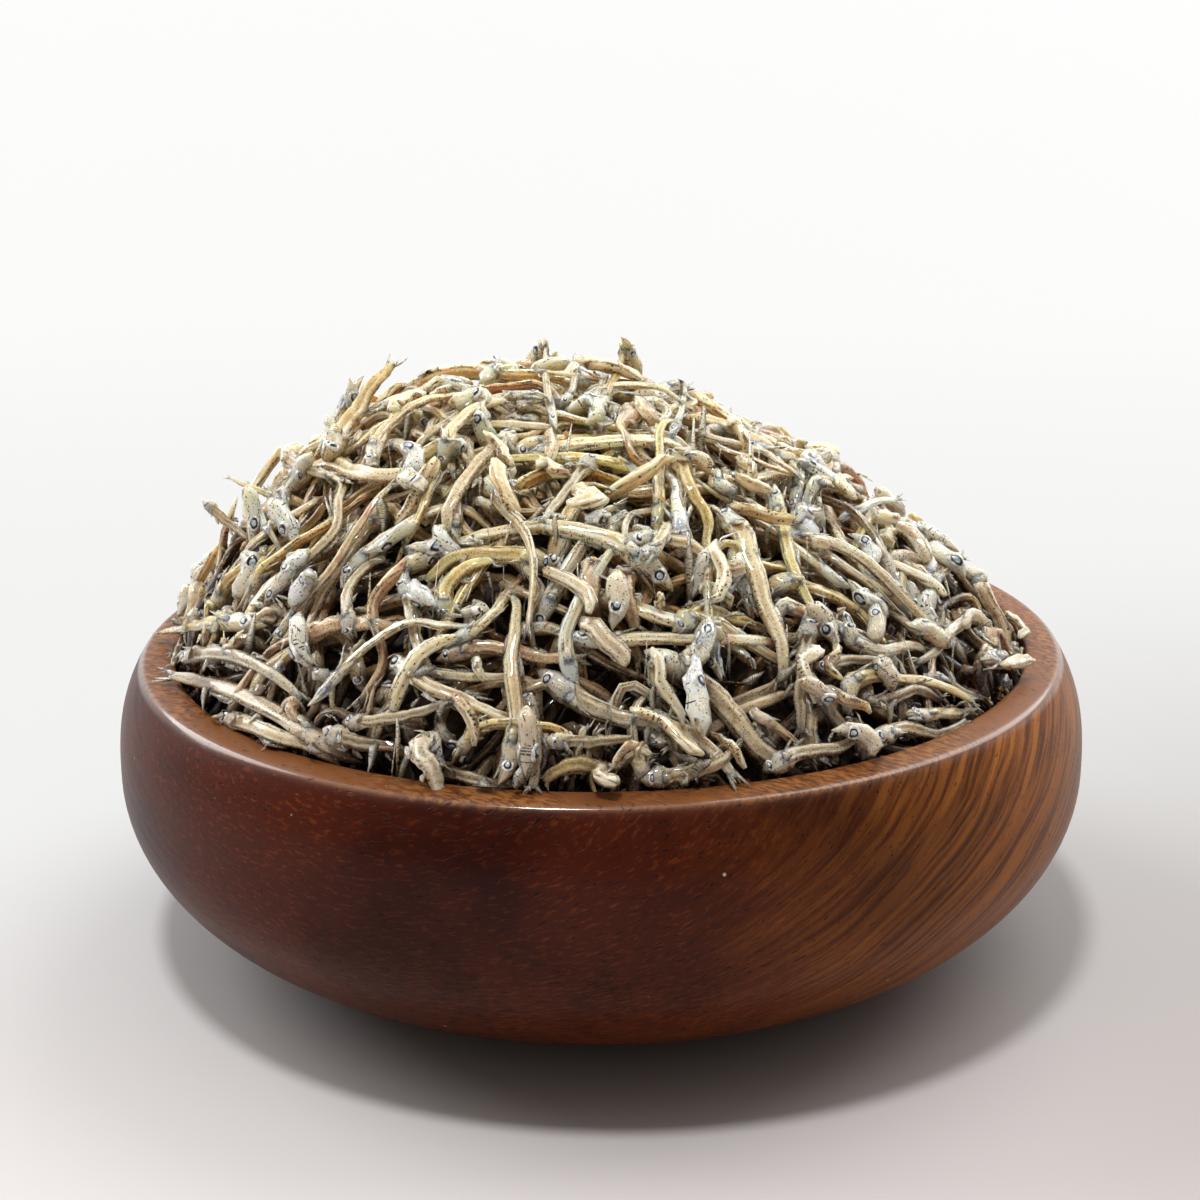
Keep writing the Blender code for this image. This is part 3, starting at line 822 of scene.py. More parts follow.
def sectionPoints(share, values, draw):
    tall, wide = bodyHalf(share)
    tall, wide = tall * 1000, wide * 1000
    trunk = float(np.interp(share, (0.19, 0.25, 0.84, 0.93), (0.0, 1.0, 1.0, 0.2)))
    head = float(np.interp(share, (0.0, 0.10, 0.15), (1.0, 0.75, 0.0)))
    lift = 0.12 * head - 0.08 * trunk
    jaw = 1.0 - 0.45 * values["mouth"] * head
    belly = 1.0 + (values["belly"] - 1.0) * trunk
    flank = []
    for rise, out in flankShape:
        full = math.sqrt(1.0 - rise * rise)
        depth = wide * (full + (out - full) * (0.15 + 0.85 * trunk) * values["fold"])
        flank.append((depth, lift + tall * rise * (jaw * belly if rise < 0 else 1.0)))
    points = [(0.0, lift + tall)] + flank + [(0.0, lift - tall * jaw * belly)]
    points += [(-y, z) for y, z in reversed(flank)]
    loose = values["uneven"] * tall
    return [(y + draw.gauss(0.0, loose), z + draw.gauss(0.0, loose)) for y, z in points]


# a ring of vertices that remember where on the fish they are: share, and mm beside and above
def addRing(shape, layers, share, points, part, remembered=None):
    verts = []
    for y, z in points:
        vert = shape.verts.new((share, y * mm, z * mm))
        vert[layers[0]] = (share if remembered is None else remembered, y, z)
        vert[layers[1]] = part
        verts.append(vert)
    return verts


def skinRings(shape, rings):
    sides = len(rings[0])
    for first, second in zip(rings, rings[1:]):
        for i in range(sides):
            j = (i + 1) % sides
            shape.faces.new((first[i], first[j], second[j], second[i]))
    shape.faces.new(rings[0][::-1])
    shape.faces.new(rings[-1])


# a thin pointed strip between two points of (share, y, z), for jaws and for the rays of fins
def addStrip(shape, layers, root, tip, width, thickness, part, tapers=(1.0, 0.80, 0.22)):
    rings = []
    for i, taper in enumerate(tapers):
        share, y, z = [a + (b - a) * i / (len(tapers) - 1) for a, b in zip(root, tip)]
        a, b = thickness * taper, width * taper
        rings.append(addRing(shape, layers, share, ((y + a, z), (y, z + b), (y - a, z), (y, z - b)), part))
    skinRings(shape, rings)


def newShape():
    shape = bmesh.new()
    layers = (shape.verts.layers.float_vector.new("fishPlace"), shape.verts.layers.float.new("fishPart"))
    return shape, layers


def templateObject(name, shape):
    bmesh.ops.triangulate(shape, faces=shape.faces)
    bmesh.ops.recalc_face_normals(shape, faces=shape.faces)
    mesh = bpy.data.meshes.new(name)
    shape.to_mesh(mesh)
    shape.free()
    return bpy.data.objects.new(name, mesh)


def fishTemplate(name, values):
    draw = random.Random(values["seed"])
    shape, layers = newShape()
    shares = np.concatenate([
        [0.0, 0.012, 0.030, 0.052, 0.078, 0.108, 0.140, 0.172, 0.198, 0.216],
        np.linspace(0.255, 0.87, 14), [0.90, 0.922, 0.940],
    ])
    rings = [sectionPoints(share, values, draw) for share in shares]
    skinRings(shape, [addRing(shape, layers, share, ring, 0.0) for share, ring in zip(shares, rings)])
    spread = values["fins"]
    gape = 0.66 + 0.9 * values["mouth"]
    jaw = (1.0, 0.85, 0.62, 0.30)
    addStrip(shape, layers, (0.135, 0.0, -1.10), (0.010, 0.0, -gape), 0.42, 0.55, 0.2, jaw)
    addStrip(shape, layers, (0.330, 0.0, -1.15), (0.430, -0.3, -1.80 * spread), 0.55, 0.08, 1.0)
    for side in (-1, 1):
        cover = (0.238, 1.70 * side, -0.35 + 0.3 * side)
        addStrip(shape, layers, (0.170, 0.80 * side, 0.0), cover, 0.95, 0.16, 0.2, (1.0, 0.95, 0.60))
        for reach, end, lean in ((1.75, 1.0, 0.25), (1.20, 0.988, -0.15), (0.60, 0.968, 0.30)):
            tip = (end, lean * side, reach * side * spread)
            addStrip(shape, layers, (0.905, 0.0, 0.34 * side), tip, 0.34, 0.08, 1.0)
        breast = (0.300, 1.55 * side, -1.45 * spread)
        addStrip(shape, layers, (0.228, 0.85 * side, -0.85), breast, 0.32, 0.07, 1.0)
    addStrip(shape, layers, (0.500, 0.0, 1.35), (0.590, 0.25, 2.35 * spread), 0.55, 0.07, 1.0)
    addStrip(shape, layers, (0.530, 0.0, 1.25), (0.640, -0.2, 1.85 * spread), 0.45, 0.07, 1.0)
    addStrip(shape, layers, (0.620, 0.0, -1.20), (0.715, 0.15, -1.95 * spread), 0.50, 0.07, 1.0)
    return templateObject(name, shape)


# a plainer fish for the depth of the heap, seen in gaps
def deepTemplate(name):
    draw = random.Random(1)
    shape, layers = newShape()
    shares = (0.0, 0.04, 0.10, 0.19, 0.24, 0.32, 0.40, 0.48, 0.56, 0.64, 0.72, 0.80, 0.87, 0.94)
    rings = [sectionPoints(share, templates["plain"], draw)[::2] for share in shares]
    skinRings(shape, [addRing(shape, layers, share, ring, 0.0) for share, ring in zip(shares, rings)])
    return templateObject(name, shape)


# a broken piece: a few millimetres of fish with torn ends
def brokenTemplate(name, seed, start, end, uneven=0.10):
    draw = random.Random(seed)
    shape, layers = newShape()
    values = {"mouth": draw.random(), "belly": 1.0, "fold": 0.8, "uneven": uneven}
    rings = []
    for step, shrink in enumerate((0.45, 0.9, 1.0, 1.0, 1.0, 0.95, 0.85, 0.35)):
        share = start + (end - start) * step / 7
        points = [(y * shrink, z * shrink) for y, z in sectionPoints(share, values, draw)]
        rings.append(addRing(shape, layers, step / 7, points, 0.0, share))
    skinRings(shape, rings)
    return templateObject(name, shape)


# a fin ray or a thread of skin
def wispTemplate(name, width):
    shape, layers = newShape()
    addStrip(shape, layers, (0.0, 0.0, 0.0), (1.0, 0.0, 0.3), width, 0.07, 1.0, (0.5, 1.0, 0.8, 0.45, 0.15))
    return templateObject(name, shape)


eyeShape = {"share": 0.084, "rise": 0.20, "radius": 1.14, "sides": 10}


# both eyes of a fish: a shallow dome with a raised lens; whole is how much of a fish the path holds
def eyeTemplate(name, whole=1.0):
    shape, layers = newShape()
    wide = bodyHalf(eyeShape["share"])[1] * 1000
    for side in (-1, 1):
        rings = []
        for share, raised in ((1.0, 0.66), (0.86, 0.90), (0.62, 1.00), (0.42, 1.06), (0.22, 1.16)):
            row = []
            for i in range(eyeShape["sides"]):
                angle = 2 * math.pi * i / eyeShape["sides"]
                dx = eyeShape["radius"] * share * math.cos(angle)
                dz = eyeShape["radius"] * share * math.sin(angle)
                along = (eyeShape["share"] + dx * mm / fishLength) / whole
                vert = shape.verts.new((along, side * wide * raised * mm, (eyeShape["rise"] + dz) * mm))
                vert[layers[0]] = (dx, side, dz)
                row.append(vert)
            rings.append(row)
        skinRings(shape, rings)
    return templateObject(name, shape)


# Geometry Nodes: one template for each path, shrivelled and then bent along it.


def readAttribute(tree, kind, name):
    return addValue(tree, "GeometryNodeInputNamedAttribute", {"data_type": kind, "Name": name})


def bendingTree():
    tree = bpy.data.node_groups.new("bendAlongPaths", "GeometryNodeTree")
    face = tree.interface
    for name, kind in (
        ("Geometry", "Geometry"), ("Paths", "Object"), ("Templates", "Collection"),
        ("Kinks", "Float"), ("Wrinkles", "Float"), ("Material", "Material"),
    ):
        face.new_socket(name, in_out="INPUT", socket_type="NodeSocket" + kind)
    face.new_socket("Geometry", in_out="OUTPUT", socket_type="NodeSocketGeometry")
    given = {socket.name: Value(socket) for socket in addNode(tree, "NodeGroupInput").outputs}
    paths = addValue(tree, "GeometryNodeObjectInfo", None, {"Object": given["Paths"]}, "Geometry")
    perCurve = {"component": "CURVE"}
    count = addValue(tree, "GeometryNodeAttributeDomainSize", perCurve, {0: paths}, "Spline Count")
    spots = addValue(tree, "GeometryNodePoints", None, {"Count": count})
    index = addValue(tree, "GeometryNodeInputIndex")

    # what each path says of its fish
    def fromPath(kind, name):
        settings = {"data_type": kind, "domain": "CURVE"}
        links = {0: paths, 1: readAttribute(tree, kind, name), "Index": index}
        return addValue(tree, "GeometryNodeSampleIndex", settings, links)

    # what it says at the place along it where a vertex of the fish is
    def fromPlace(kind, name):
        links = {"Curves": paths, "Factor": along, "Curve Index": readAttribute(tree, "INT", "fishId")}
        links["Value"] = readAttribute(tree, kind, name)
        return addNode(tree, "GeometryNodeSampleCurve", {"data_type": kind}, links).outputs

    apart = {"Separate Children": True}
    shelf = addValue(tree, "GeometryNodeCollectionInfo", apart, {"Collection": given["Templates"]})
    placed = addValue(
        tree, "GeometryNodeInstanceOnPoints", {"Pick Instance": True},
        {"Points": spots, "Instance": shelf, "Instance Index": fromPath("INT", "template")},
    )
    for name, kind, value in (
        ("fishId", "INT", index), ("fishRandom", "FLOAT_VECTOR", fromPath("FLOAT_VECTOR", "chance")),
    ):
        settings = {"data_type": kind, "domain": "INSTANCE", "Name": name}
        links = {"Geometry": placed, "Value": value}
        placed = addValue(tree, "GeometryNodeStoreNamedAttribute", settings, links)
    loose = addValue(tree, "GeometryNodeRealizeInstances", None, {0: placed})

    # dried unevenly: thick and thin places, kinks of the whole body, and small wrinkles
    place = addValue(tree, "GeometryNodeInputPosition")
    along, across, up = split(place)
    own = scaled(readAttribute(tree, "FLOAT_VECTOR", "fishRandom"), 60.0)
    down = added(joined(along * fishMm), own)
    swell = noise(down, 0.23, 1.0) * 0.4 + 0.8
    skin = added(stretched(place, (22.0, 850.0, 850.0)), own)
    half = (0.5, 0.5, 0.5)
    kink = scaled(vecCalc("SUBTRACT", noise(down, 0.15, 1.5, output=1), half), given["Kinks"])
    crease = scaled(vecCalc("SUBTRACT", noise(skin, 1.0, output=1), half), given["Wrinkles"])
    _, pushY, pushZ = split(added(kink, crease))

    follow = fromPlace("FLOAT_VECTOR", "flank")
    side, centre, tangent = [Value(follow[name]) for name in ("Value", "Position", "Tangent")]
    girth = Value(fromPlace("FLOAT", "girth")[0])
    ahead = vecCalc("NORMALIZE", tangent)
    leaning = scaled(ahead, vecCalc("DOT_PRODUCT", side, ahead))
    flank = vecCalc("NORMALIZE", vecCalc("SUBTRACT", side, leaning))
    back = vecCalc("CROSS_PRODUCT", ahead, flank)
    toFlank = (across * swell + pushY) * girth
    toBack = (up * swell + pushZ) * girth
    position = added(centre, added(scaled(flank, toFlank), scaled(back, toBack)))
    bent = addValue(tree, "GeometryNodeSetPosition", None, {"Geometry": loose, "Position": position})
    links = {"Geometry": bent, "Material": given["Material"]}
    finished = addValue(tree, "GeometryNodeSetMaterial", None, links)
    addNode(tree, "NodeGroupOutput", None, {"Geometry": finished})
    return tree


def pathsObject(name, shoal, templateCount):
    data = bpy.data.hair_curves.new(name)
    data.add_curves([samples] * len(shoal))

    def store(key, kind, domain, values, field):
        attribute = data.attributes.get(key) or data.attributes.new(key, kind, domain)
        numbers = np.asarray(values, np.int32 if kind == "INT" else np.float32)
        attribute.data.foreach_set(field, numbers.ravel())

    store("position", "FLOAT_VECTOR", "POINT", np.concatenate([fish["line"] for fish in shoal]), "vector")
    store("flank", "FLOAT_VECTOR", "POINT", np.concatenate([fish["normals"] for fish in shoal]), "vector")
    store("girth", "FLOAT", "POINT", np.repeat([fish["girth"] for fish in shoal], samples), "value")
    store("chance", "FLOAT_VECTOR", "CURVE", [fish["chance"] for fish in shoal], "vector")
    picks = [int(fish["chance"][0] * 997) % templateCount for fish in shoal]
    store("template", "INT", "CURVE", picks, "value")
    data.set_types(type="POLY")
    return addObject(name, data)


# runs the tree for one piece and keeps its result as a plain mesh
def bendPiece(name, tree, ground, shoal, objects, kinks, wrinkles, material):
    paths = pathsObject(name + "Paths", shoal, len(objects))
    shelf = bpy.data.collections.new(name + "Templates")
    scene.collection.children.link(shelf)
    for obj in objects:
        shelf.objects.link(obj)
    carrier = addObject(name + "Carrier", bpy.data.meshes.new(name + "Carrier"))
    modifier = carrier.modifiers.new("bend", "NODES")
    modifier.node_group = tree
    inputs = [item for item in tree.interface.items_tree if item.in_out == "INPUT"]
    sockets = {item.name: item.identifier for item in inputs}
    given = {
        "Paths": paths, "Templates": shelf, "Kinks": kinks, "Wrinkles": wrinkles, "Material": material,
    }
    for label, value in given.items():
        modifier[sockets[label]] = value
    carrier.update_tag()
    mesh = bpy.data.meshes.new_from_object(carrier.evaluated_get(bpy.context.evaluated_depsgraph_get()))
    mesh.name = name
    for extra in (carrier, paths):
        bpy.data.objects.remove(extra)
    for obj in objects:
        shelf.objects.unlink(obj)
    bpy.data.collections.remove(shelf)
    places = np.empty(3 * len(mesh.vertices), np.float32)
    mesh.attributes["position"].data.foreach_get("vector", places)
    # each vertex keeps how deep it lies, for the painted shade of the skins and eyes
    depth = ground.depthOf(places.reshape(-1, 3).astype(float)) * 1000
    mesh.attributes.new("fishDeep", "FLOAT", "POINT").data.foreach_set("value", depth.astype(np.float32))
    piece = meshObject(name, mesh, material)
    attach(piece, "root")
    print(name, len(shoal), "paths", sum(len(p.vertices) - 2 for p in mesh.polygons), "triangles")
    return piece


# What dried fish look like.

skins = {
    "pale": {"body": "#e5ddc8", "back": "#c5b896", "edge": "#fffdf4", "head": "#fffefa", "pigment": 0.70},
    "cream": {"body": "#dbcfb0", "back": "#baa980", "edge": "#fbf4de", "head": "#fcf8ee", "pigment": 0.55},
    "grey": {"body": "#c9c1ad", "back": "#94886f", "edge": "#f2ede0", "head": "#f8f5ee", "pigment": 1.00},
    "yellow": {"body": "#dac98c", "back": "#b59f60", "edge": "#f6ecc4", "head": "#f4ebce", "pigment": 0.62},
    "brown": {"body": "#cfb59b", "back": "#ab9076", "edge": "#ead8c4", "head": "#eaddcf", "pigment": 0.45},
    "orange": {"body": "#ec8440", "back": "#d8682a", "edge": "#f2a868", "head": "#ec8440", "pigment": 0.20},
}

fishTones = {
    "groove": "#b3a07a", "dull": "#a4926c", "rust": "#b0683a", "throat": "#fbfaf6", "line": "#3a2c20",
    "pigment": "#0e0a07", "saltAndGlints": "#fffdf8", "fin": "#efe8d2", "finRay": "#8d7c56",
    "finYellow": "#cdb043", "finDark": "#17110b",
    # what these last ones tint: single fish their own tone, painted shade on what lies deep, painted light
    # on the heap's top and painted shade at its foot
    "fair": "#fff8ec", "tanned": "#f8ead2", "deep": "#ad8f60", "deepestShade": "#3f2813",
    "top": "#fff6e2", "foot": "#634b29",
}


# thin translucent skin: amber in the groove between two muscle ridges with painted highlights on the ridges,
# whiter at the edges (partly the skin's own colour, partly painted highlight), rows of tiny black dots,
# white specks partly of salt and partly painted glints, a white crumpled head with its gill cover and mouth
# line, rusty places and yellow-flecked fins
def skinMaterial(name, values):
    material, tree, shader = newMaterial(name, {
        "Subsurface Weight": 0.75, "Subsurface Radius": (1.0, 0.70, 0.42), "Subsurface Scale": 0.0024,
        "IOR": 1.45, "Coat Weight": 0.90, "Coat Roughness": 0.07,
    })
    place = carried(tree, "fishPlace")
    chance = carried(tree, "fishRandom")
    part = carried(tree, "fishPart", "Fac")
    deep = carried(tree, "fishDeep", "Fac")
    along, _, rise = split(place)
    first, second, third = split(chance)
    own = scaled(chance, 40.0)
    local = added(stretched(place, (fishMm, 1.0, 1.0)), own)
    flatX, _, flatZ = split(added(stretched(place, (fishMm, 0.0, 1.0)), own))
    height = abs(rise)
    arch = rise * rise
    trunk = fade(along, 0.2, 0.26) * fade(along, 0.95, 0.9)
    isHead = fade(along + arch * 0.012, 0.222, 0.2)

    colour = mixColour(fade(rise, -0.2, 1.2), values["body"], values["back"])
    blotch = fade(noise(local, 0.3, 3.0, 0.6), 0.46, 0.62)
    colour = mixColour(blotch * 0.3, colour, values["edge"])
    groove = fade(abs(rise - 0.1), 0.5, 0.05) * trunk
    flesh = fade(noise(local, 0.55, 2.0), 0.34, 0.6)
    colour = mixColour(groove * flesh * 0.45, colour, fishTones["groove"])
    dull = fade(abs(height - 0.92), 0.24, 0.08) * trunk
    colour = mixColour(dull * 0.42, colour, fishTones["dull"])
    # painted highlight along the two muscle ridges
    upper = fade(abs(rise - 0.6), 0.26, 0.06)
    lower = fade(abs(rise + 0.56), 0.26, 0.06)
    ridgeHighlight = larger(upper, lower) * trunk * (flesh + 0.3)
    colour = mixColour(ridgeHighlight * 0.62, colour, values["edge"])
    # whiter edges: partly the skin's own colour, partly painted highlight
    edge = fade(height, 1.02, 1.25) * trunk
    colour = mixColour(edge * 0.85, colour, values["edge"])
    fibres = noise(stretched(local, (0.22, 4.2, 4.2)), 1.0, 2.0, 0.6)
    colour = scaled(colour, fibres * 0.44 + 0.8)
    muscle = calc("SINE", along * 290.0 + height * 3.4)
    colour = mixColour(fade(muscle, 0.3, 1.0) * trunk * 0.14, colour, values["back"])
    rust = fade(noise(local, 0.22, 2.0), 0.6, 0.7) * fade(third, 0.5, 0.85)
    colour = mixColour(rust * 0.55, colour, fishTones["rust"])

    pearly = fade(noise(local, 1.3, 4.0, 0.65), 0.32, 0.52)
    headTone = mixColour(pearly, values["body"], values["head"])
    headTone = mixColour(fade(rise, 0.0, -0.7) * 0.75, headTone, fishTones["throat"])
    colour = mixColour(isHead, colour, headTone)
    gill = fade(abs(along + arch * 0.014 - 0.214), 0.008, 0.002) * fade(noise(local, 0.9), 0.4, 0.56)
    mouth = fade(abs(rise + along * 6.5), 0.14, 0.05) * fade(along, 0.13, 0.11)
    mark = larger(gill, mouth)
    colour = mixColour(mark * 0.65, colour, fishTones["line"])
    mottle = noise(local, 1.9, 4.0, 0.7)
    colour = scaled(colour, mottle * 0.4 + 0.82)

    # pigment: rows of dots below the back, down the middle and above the belly, and black edges
    away, pick = cellsOf(joined(flatX, flatZ), 2.6, "2D")
    dots = fade(away - (pick[1] * 0.22 + 0.1), 0.05, -0.03)
    rowUp = fade(abs(rise - 0.92), 0.32, 0.12)
    rowDown = fade(abs(rise + 0.95), 0.32, 0.12)
    rowMid = fade(abs(rise - 0.06), 0.22, 0.08)
    rows = larger(larger(rowUp, rowDown), rowMid)
    patchy = fade(noise(local, 0.26, 1.0), 0.44, 0.62)
    dense = rows * ((patchy + 1.0) * 0.52) + 0.03 + patchy * 0.2 + isHead * fade(rise, 0.0, 0.8) * 0.12
    dense = dense * (second * 0.9 + (values["pigment"] - 0.35))
    spots = dots * calc("GREATER_THAN", dense, pick[0])
    dashes = fade(noise(stretched(local, (0.9, 3.0, 3.0)), 1.0, 2.0), 0.6, 0.66)
    dashes = dashes * fade(height, 0.8, 1.15) * fade(second, 0.15, 0.55)
    broken = fade(noise(stretched(local, (0.8, 0.6, 0.6)), 1.0, 3.0, 0.6), 0.46, 0.54)
    thread = fade(abs(height - 0.98), 0.11, 0.05) * broken
    dashes = larger(dashes, thread * trunk * 0.75)
    colour = mixColour(larger(spots, dashes) * 0.94, colour, fishTones["pigment"])
    grains = added(local, (7.0, 3.0, 5.0))
    # white specks: partly salt crystals, partly painted glints
    away, pick = cellsOf(grains, 3.3)
    saltAndGlints = fade(away, 0.42, 0.2) * fade(pick[0], 0.72, 0.74)
    colour = mixColour(saltAndGlints * 0.85, colour, fishTones["saltAndGlints"])

    rays = fade(noise(local, 2.2, 2.0), 0.45, 0.58)
    finTone = mixColour(rays * 0.7, fishTones["fin"], fishTones["finRay"])
    finTone = mixColour(fade(noise(local, 0.9), 0.6, 0.66), finTone, fishTones["finYellow"])
    finTone = mixColour(fade(noise(grains, 1.2), 0.58, 0.64), finTone, fishTones["finDark"])
    colour = mixColour(fade(part, 0.5, 0.9), colour, finTone)

    # each fish has its own tone; what lies deeper gets painted shade, amber brown and then near black
    colour = tinted(colour, mixColour(third, fishTones["fair"], fishTones["tanned"]))
    colour = scaled(colour, first * 0.46 + 0.88)
    shade = mixColour(fade(deep, 0.8, 4.6), "#ffffff", fishTones["deep"])
    shade = mixColour(fade(deep, 4.0, 8.6), shade, fishTones["deepestShade"])
    _, _, z = split(objectPlace(tree))
    # painted light: the heap's top is coloured lighter
    shade = mixColour(fade(z, 0.06, 0.084) * 0.7, shade, fishTones["top"])
    # painted shade low on the heap; only what lies on top stays fairly pale
    low = fade(z, 0.071, 0.045) * (fade(deep, 0.4, 2.6) * 0.72 + 0.28)
    shade = mixColour(low, shade, tinted(shade, fishTones["foot"]))
    colour = tinted(colour, shade)
    colour = vecCalc("MINIMUM", colour, (0.93, 0.93, 0.93))
    plug(shader, "Base Color", colour)

    rough = noise(local, 1.1, 3.0) * 0.36 + 0.06
    plug(shader, "Roughness", rough - isHead * 0.06)
    folds = noise(stretched(local, (0.5, 3.4, 3.4)), 1.0, 3.0, 0.6)
    grit = noise(local, 3.6, 3.0, 0.65) * (isHead * 1.8 + 0.75)
    addBump(shader, folds + grit + muscle * trunk * 0.05 + saltAndGlints * 0.3 - mark * 0.5, 0.00032)
    return material


# the eye's colours; deep is the painted shade of eyes that lie deep in the heap
eyeTones = {
    "lens": "#8da2bb", "clouded": "#dfe4e8", "dull": "#a7b0b8", "ring": "#08090c",
    "rim": "#faf9f4", "rimShade": "#c4bfb2", "deep": "#2c231a",
}


# a cloudy blue-grey lens in a black ring, with a silvery white rim
def eyeMaterial():
    material, tree, shader = newMaterial("driedEye", {
        "Roughness": 0.28, "Coat Weight": 0.6, "Coat Roughness": 0.08,
    })

    def radius(x, z):
        return calc("SQRT", x * x + z * z)

    place = carried(tree, "fishPlace")
    chance = carried(tree, "fishRandom")
    deep = carried(tree, "fishDeep", "Fac")
    first, second, third = split(chance)
    across, _, rise = split(place)
    own = added(place, scaled(chance, 30.0))
    ragged = (noise(own, 1.8, 2.0) - 0.5) * 0.4
    dx = across + (first - 0.5) * 0.3
    dz = rise + (second - 0.5) * 0.3
    lens = radius(dx, dz) + ragged * 0.6
    whole = radius(across, rise) + ragged
    cloud = mixColour(fade(noise(own, 2.6, 2.0), 0.4, 0.6), eyeTones["lens"], eyeTones["clouded"])
    cloud = mixColour(third * 0.5, cloud, eyeTones["dull"])
    colour = mixColour(fade(lens, 0.34, 0.43), cloud, eyeTones["ring"])
    rim = mixColour(fade(noise(own, 2.2, 2.0), 0.4, 0.6), eyeTones["rim"], eyeTones["rimShade"])
    colour = mixColour(fade(whole, 0.63, 0.75), colour, rim)
    # painted shade on eyes that lie deep in the heap
    colour = mixColour(fade(deep, 2.0, 7.0) * 0.7, colour, eyeTones["deep"])
    plug(shader, "Base Color", colour)
    return material


# The core under the fish, of which only glimpses show.

coreShape = {
    "segments": 160, "rows": 56,
    "inset": 0.0006,       # kept free along the bowl's wall
    "sunk": 0.0008,        # to make room for its lumps
    "shadow": "#140a05", "flesh": "#4a3420",
}


def coreMaterial():
    material, tree, shader = newMaterial("shadedCore", {"Roughness": 0.8})
    place = objectPlace(tree)
    strands = noise(place, 260.0, 3.0, 0.6, 1.6)
    colour = mixColour(fade(strands, 0.38, 0.66), coreShape["shadow"], coreShape["flesh"])
    plug(shader, "Base Color", colour)
    addBump(shader, strands, 0.0008)
    return material


def makeCore():
    segments, rows, inset = coreShape["segments"], coreShape["rows"], coreShape["inset"]
    wall = innerProfile[innerProfile[:, 1] < heap["edge"] - heap["tilt"] - heap["coreDepth"] - 0.001]
    angles = np.linspace(0.0, 2 * math.pi, segments, endpoint=False)
    ways = np.column_stack([np.cos(angles), np.sin(angles)])
    rings = [
        np.column_stack([ways * (radius - inset), np.full(segments, height + inset)])
        for radius, height in wall
    ]
    low = edgeHeight(ways[:, 0], ways[:, 1]) - heap["coreDepth"]
    edge = innerRadiusAt(low) - inset
    rings.append(np.column_stack([ways * edge[:, None], low]))
    for step in range(1, rows):
        share = 1.0 - step / rows
        plan = ways * edge[:, None] * share + np.array(heap["topOffset"]) * (1.0 - share)
        lumps = 0.0008 * np.sin(plan[:, 0] * 900.0) * np.sin(plan[:, 1] * 1100.0 + 1.0)
        lumps += 0.0007 * np.sin(plan[:, 0] * 2100.0 + 2.0 * plan[:, 1] * 900.0)
        height = domeHeight(plan[:, 0], plan[:, 1]) - heap["coreDepth"] + lumps - coreShape["sunk"]
        rings.append(np.column_stack([plan, height]))
    top = domeHeight(*heap["topOffset"]) - heap["coreDepth"] - coreShape["sunk"]
    ends = [(0.0, 0.0, rings[0][0][2]), (*heap["topOffset"], float(top))]
    mesh = ringMesh("heapCore", rings, ends)
    core = meshObject("heapCore", mesh, coreMaterial())
    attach(core, "root")
    return core


def makeHeap():
    draw = random.Random(heap["seed"])
    ground = Ground()
    shoal = []
    below = fillHeap(shoal, ground, draw, *heap["below"], "deep")
    between = fillHeap(shoal, ground, draw, *heap["between"], "deep")
    above = fillHeap(shoal, ground, draw, *heap["above"])
    print("heap filled with", below, "fish below,", between, "in the middle and", above, "above")
    addShown(shoal, ground, shownFish, draw)
    extra = fillHeap(shoal, ground, draw, *heap["last"])
    addShown(shoal, ground, strayFish, draw)
    print("fish seen one by one", len(shownFish) + len(strayFish), "and", extra, "more between them")

    tree = bendingTree()
    shapes = [fishTemplate(name, values) for name, values in templates.items()]
    kinks, wrinkles = heap["kinks"], heap["wrinkles"]
    for kind in kinds:
        group = [fish for fish in shoal if fish["kind"] == kind]
        skin = skinMaterial(kind + "Skin", skins[kind])
        bendPiece(kind + "Anchovies", tree, ground, group, shapes, kinks, wrinkles, skin)
    eyes = eyeMaterial()
    seen = [fish for fish in shoal if fish["kind"] in kinds]
    bendPiece("anchovyEyes", tree, ground, seen, [eyeTemplate("eyes")], kinks, 0.0, eyes)
    hidden = [fish for fish in shoal if fish["kind"] == "deep"]
    deepSkin = skinMaterial("deepSkin", skins["cream"])
    bendPiece("deepAnchovies", tree, ground, hidden, [deepTemplate("deepFish")], kinks, wrinkles, deepSkin)

    loose = skinMaterial("looseSkin", skins["pale"])
    trunks = [brokenTemplate("trunk" + str(i), i, 0.24 + 0.12 * i, 0.46 + 0.12 * i) for i in range(4)]
    fragments = strew(ground, draw, **brokenBits["trunks"])
    bendPiece("brokenTrunks", tree, ground, fragments, trunks, 0.0006, wrinkles, loose)
    faces = [brokenTemplate("face" + str(i), 20 + i, 0.0, 0.215, 0.07) for i in range(3)]
    heads = strew(ground, draw, **brokenBits["heads"])
    bendPiece("looseHeads", tree, ground, heads, faces, 0.0004, wrinkles, loose)
    bendPiece("looseHeadEyes", tree, ground, heads, [eyeTemplate("faceEyes", 0.215)], 0.0004, 0.0, eyes)
    wisps = strew(ground, draw, **brokenBits["wisps"])
    shreds = [wispTemplate("ray", 0.30), wispTemplate("shred", 0.75)]
    bendPiece("finRays", tree, ground, wisps, shreds, 0.0010, 0.0, loose)
    lumps = [brokenTemplate("crumb" + str(i), 40 + i, 0.3, 0.4, 0.25) for i in range(3)]
    crumbs = strew(ground, draw, **brokenBits["crumbs"])
    roe = skinMaterial("driedRoe", skins["orange"])
    bendPiece("orangeCrumbs", tree, ground, crumbs, lumps, 0.0003, 0.0008, roe)
    core = makeCore()
    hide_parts("anchovy_heap")


# Floor and light.

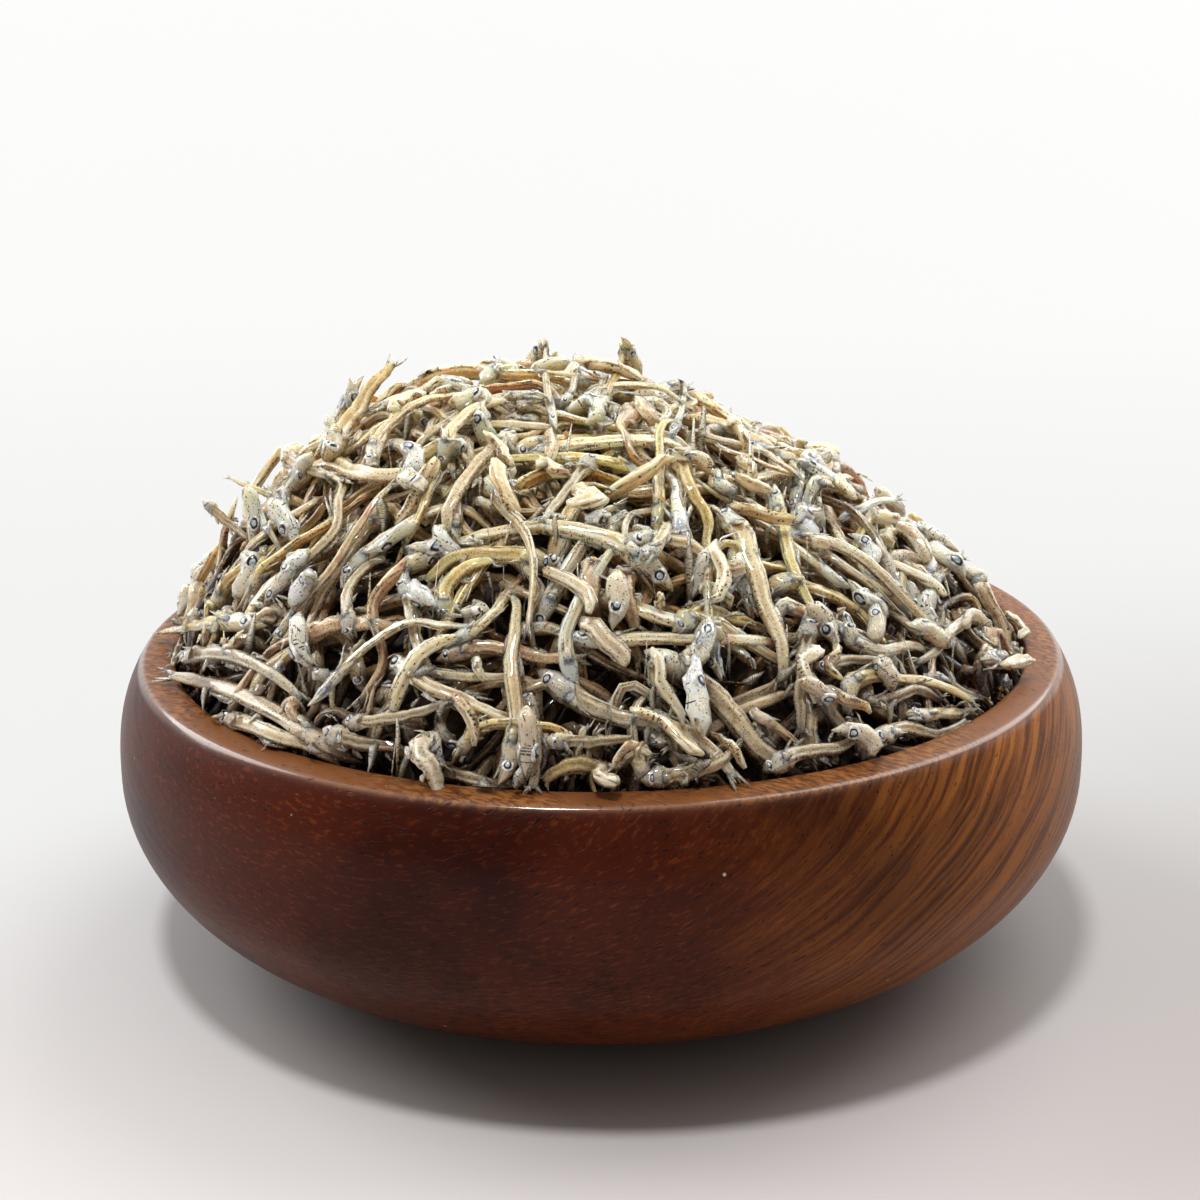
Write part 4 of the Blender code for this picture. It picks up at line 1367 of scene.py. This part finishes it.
stage = {
    # floor colours near and far, painted light and shade
    "near": "#c5bfbe", "far": "#b0b1b1",
    # painted shade
    "right": "#cfc9c7",                              # over the near floor's right half
    "glow": 0.06,                                    # of the floor far behind
    "key": {"from": (-0.12, -0.12, 1.0), "angle": 8.0, "strength": 1.95},
    "window": {"from": (-0.85, 0.50, 0.62), "angle": 36.0, "strength": 1.75},
    "rear": {"from": (0.62, 0.66, 0.84), "angle": 50.0, "strength": 1.75},
    "front": 0.22, "back": 1.25,                     # the room's brightness before and behind
    "warmth": "#fff1e8",                             # of the light from the front
}


def floorMaterial():
    material, tree, shader = newMaterial("paleFloor", {"Roughness": 0.75, "Specular IOR Level": 0.1})
    x, y, _ = split(objectPlace(tree))
    # painted light and shade: the floor's colour changes from near to far and darkens over its near right,
    # and far back it glows
    colour = mixColour(fade(y, -0.16, 0.06), stage["near"], stage["far"])
    shaded = fade(x, -0.02, 0.14) * fade(y, 0.22, -0.12)
    colour = mixColour(shaded, colour, tinted(colour, stage["right"]))
    plug(shader, "Base Color", colour)
    plug(shader, "Emission Color", (1.0, 1.0, 1.0, 1.0))
    plug(shader, "Emission Strength", fade(y, 0.1, 0.6) * stage["glow"])
    return material


def addSun(name, values):
    lamp = bpy.data.lights.new(name, "SUN")
    lamp.angle = math.radians(values["angle"])
    lamp.energy = values["strength"]
    x, y, z = values["from"]
    obj = addObject(name, lamp)
    obj.rotation_euler = (math.atan2(math.hypot(x, y), z), 0.0, math.atan2(x, -y))


# a room that is dark in front of the bowl and bright behind it
def makeRoom():
    world = bpy.data.worlds.new("room")
    scene.world = world
    world.use_nodes = True
    tree = world.node_tree
    tree.nodes.clear()
    _, y, z = split(addValue(tree, "ShaderNodeTexCoord", output="Generated"))
    bright = fade(y * 0.8 + z * 0.6, -0.1, 1.0)
    bright = bright * (stage["back"] - stage["front"]) + stage["front"]
    tint = mixColour(fade(y, -0.3, 0.3), stage["warmth"], "#ffffff")
    light = addValue(tree, "ShaderNodeBackground", None, {"Color": tint, "Strength": bright})
    addNode(tree, "ShaderNodeOutputWorld", None, {"Surface": light})


def makeStage():
    mesh = bpy.data.meshes.new("floor")
    mesh.from_pydata([(-30, -10, 0), (30, -10, 0), (30, 50, 0), (-30, 50, 0)], [], [(0, 1, 2, 3)])
    floor = meshObject("floor", mesh, floorMaterial())
    makeRoom()
    for name in ("key", "window", "rear"):
        addSun(name, stage[name])
    scene.view_settings.view_transform = "Standard"


makeBowl()
makeHeap()
makeStage()
makeCamera()
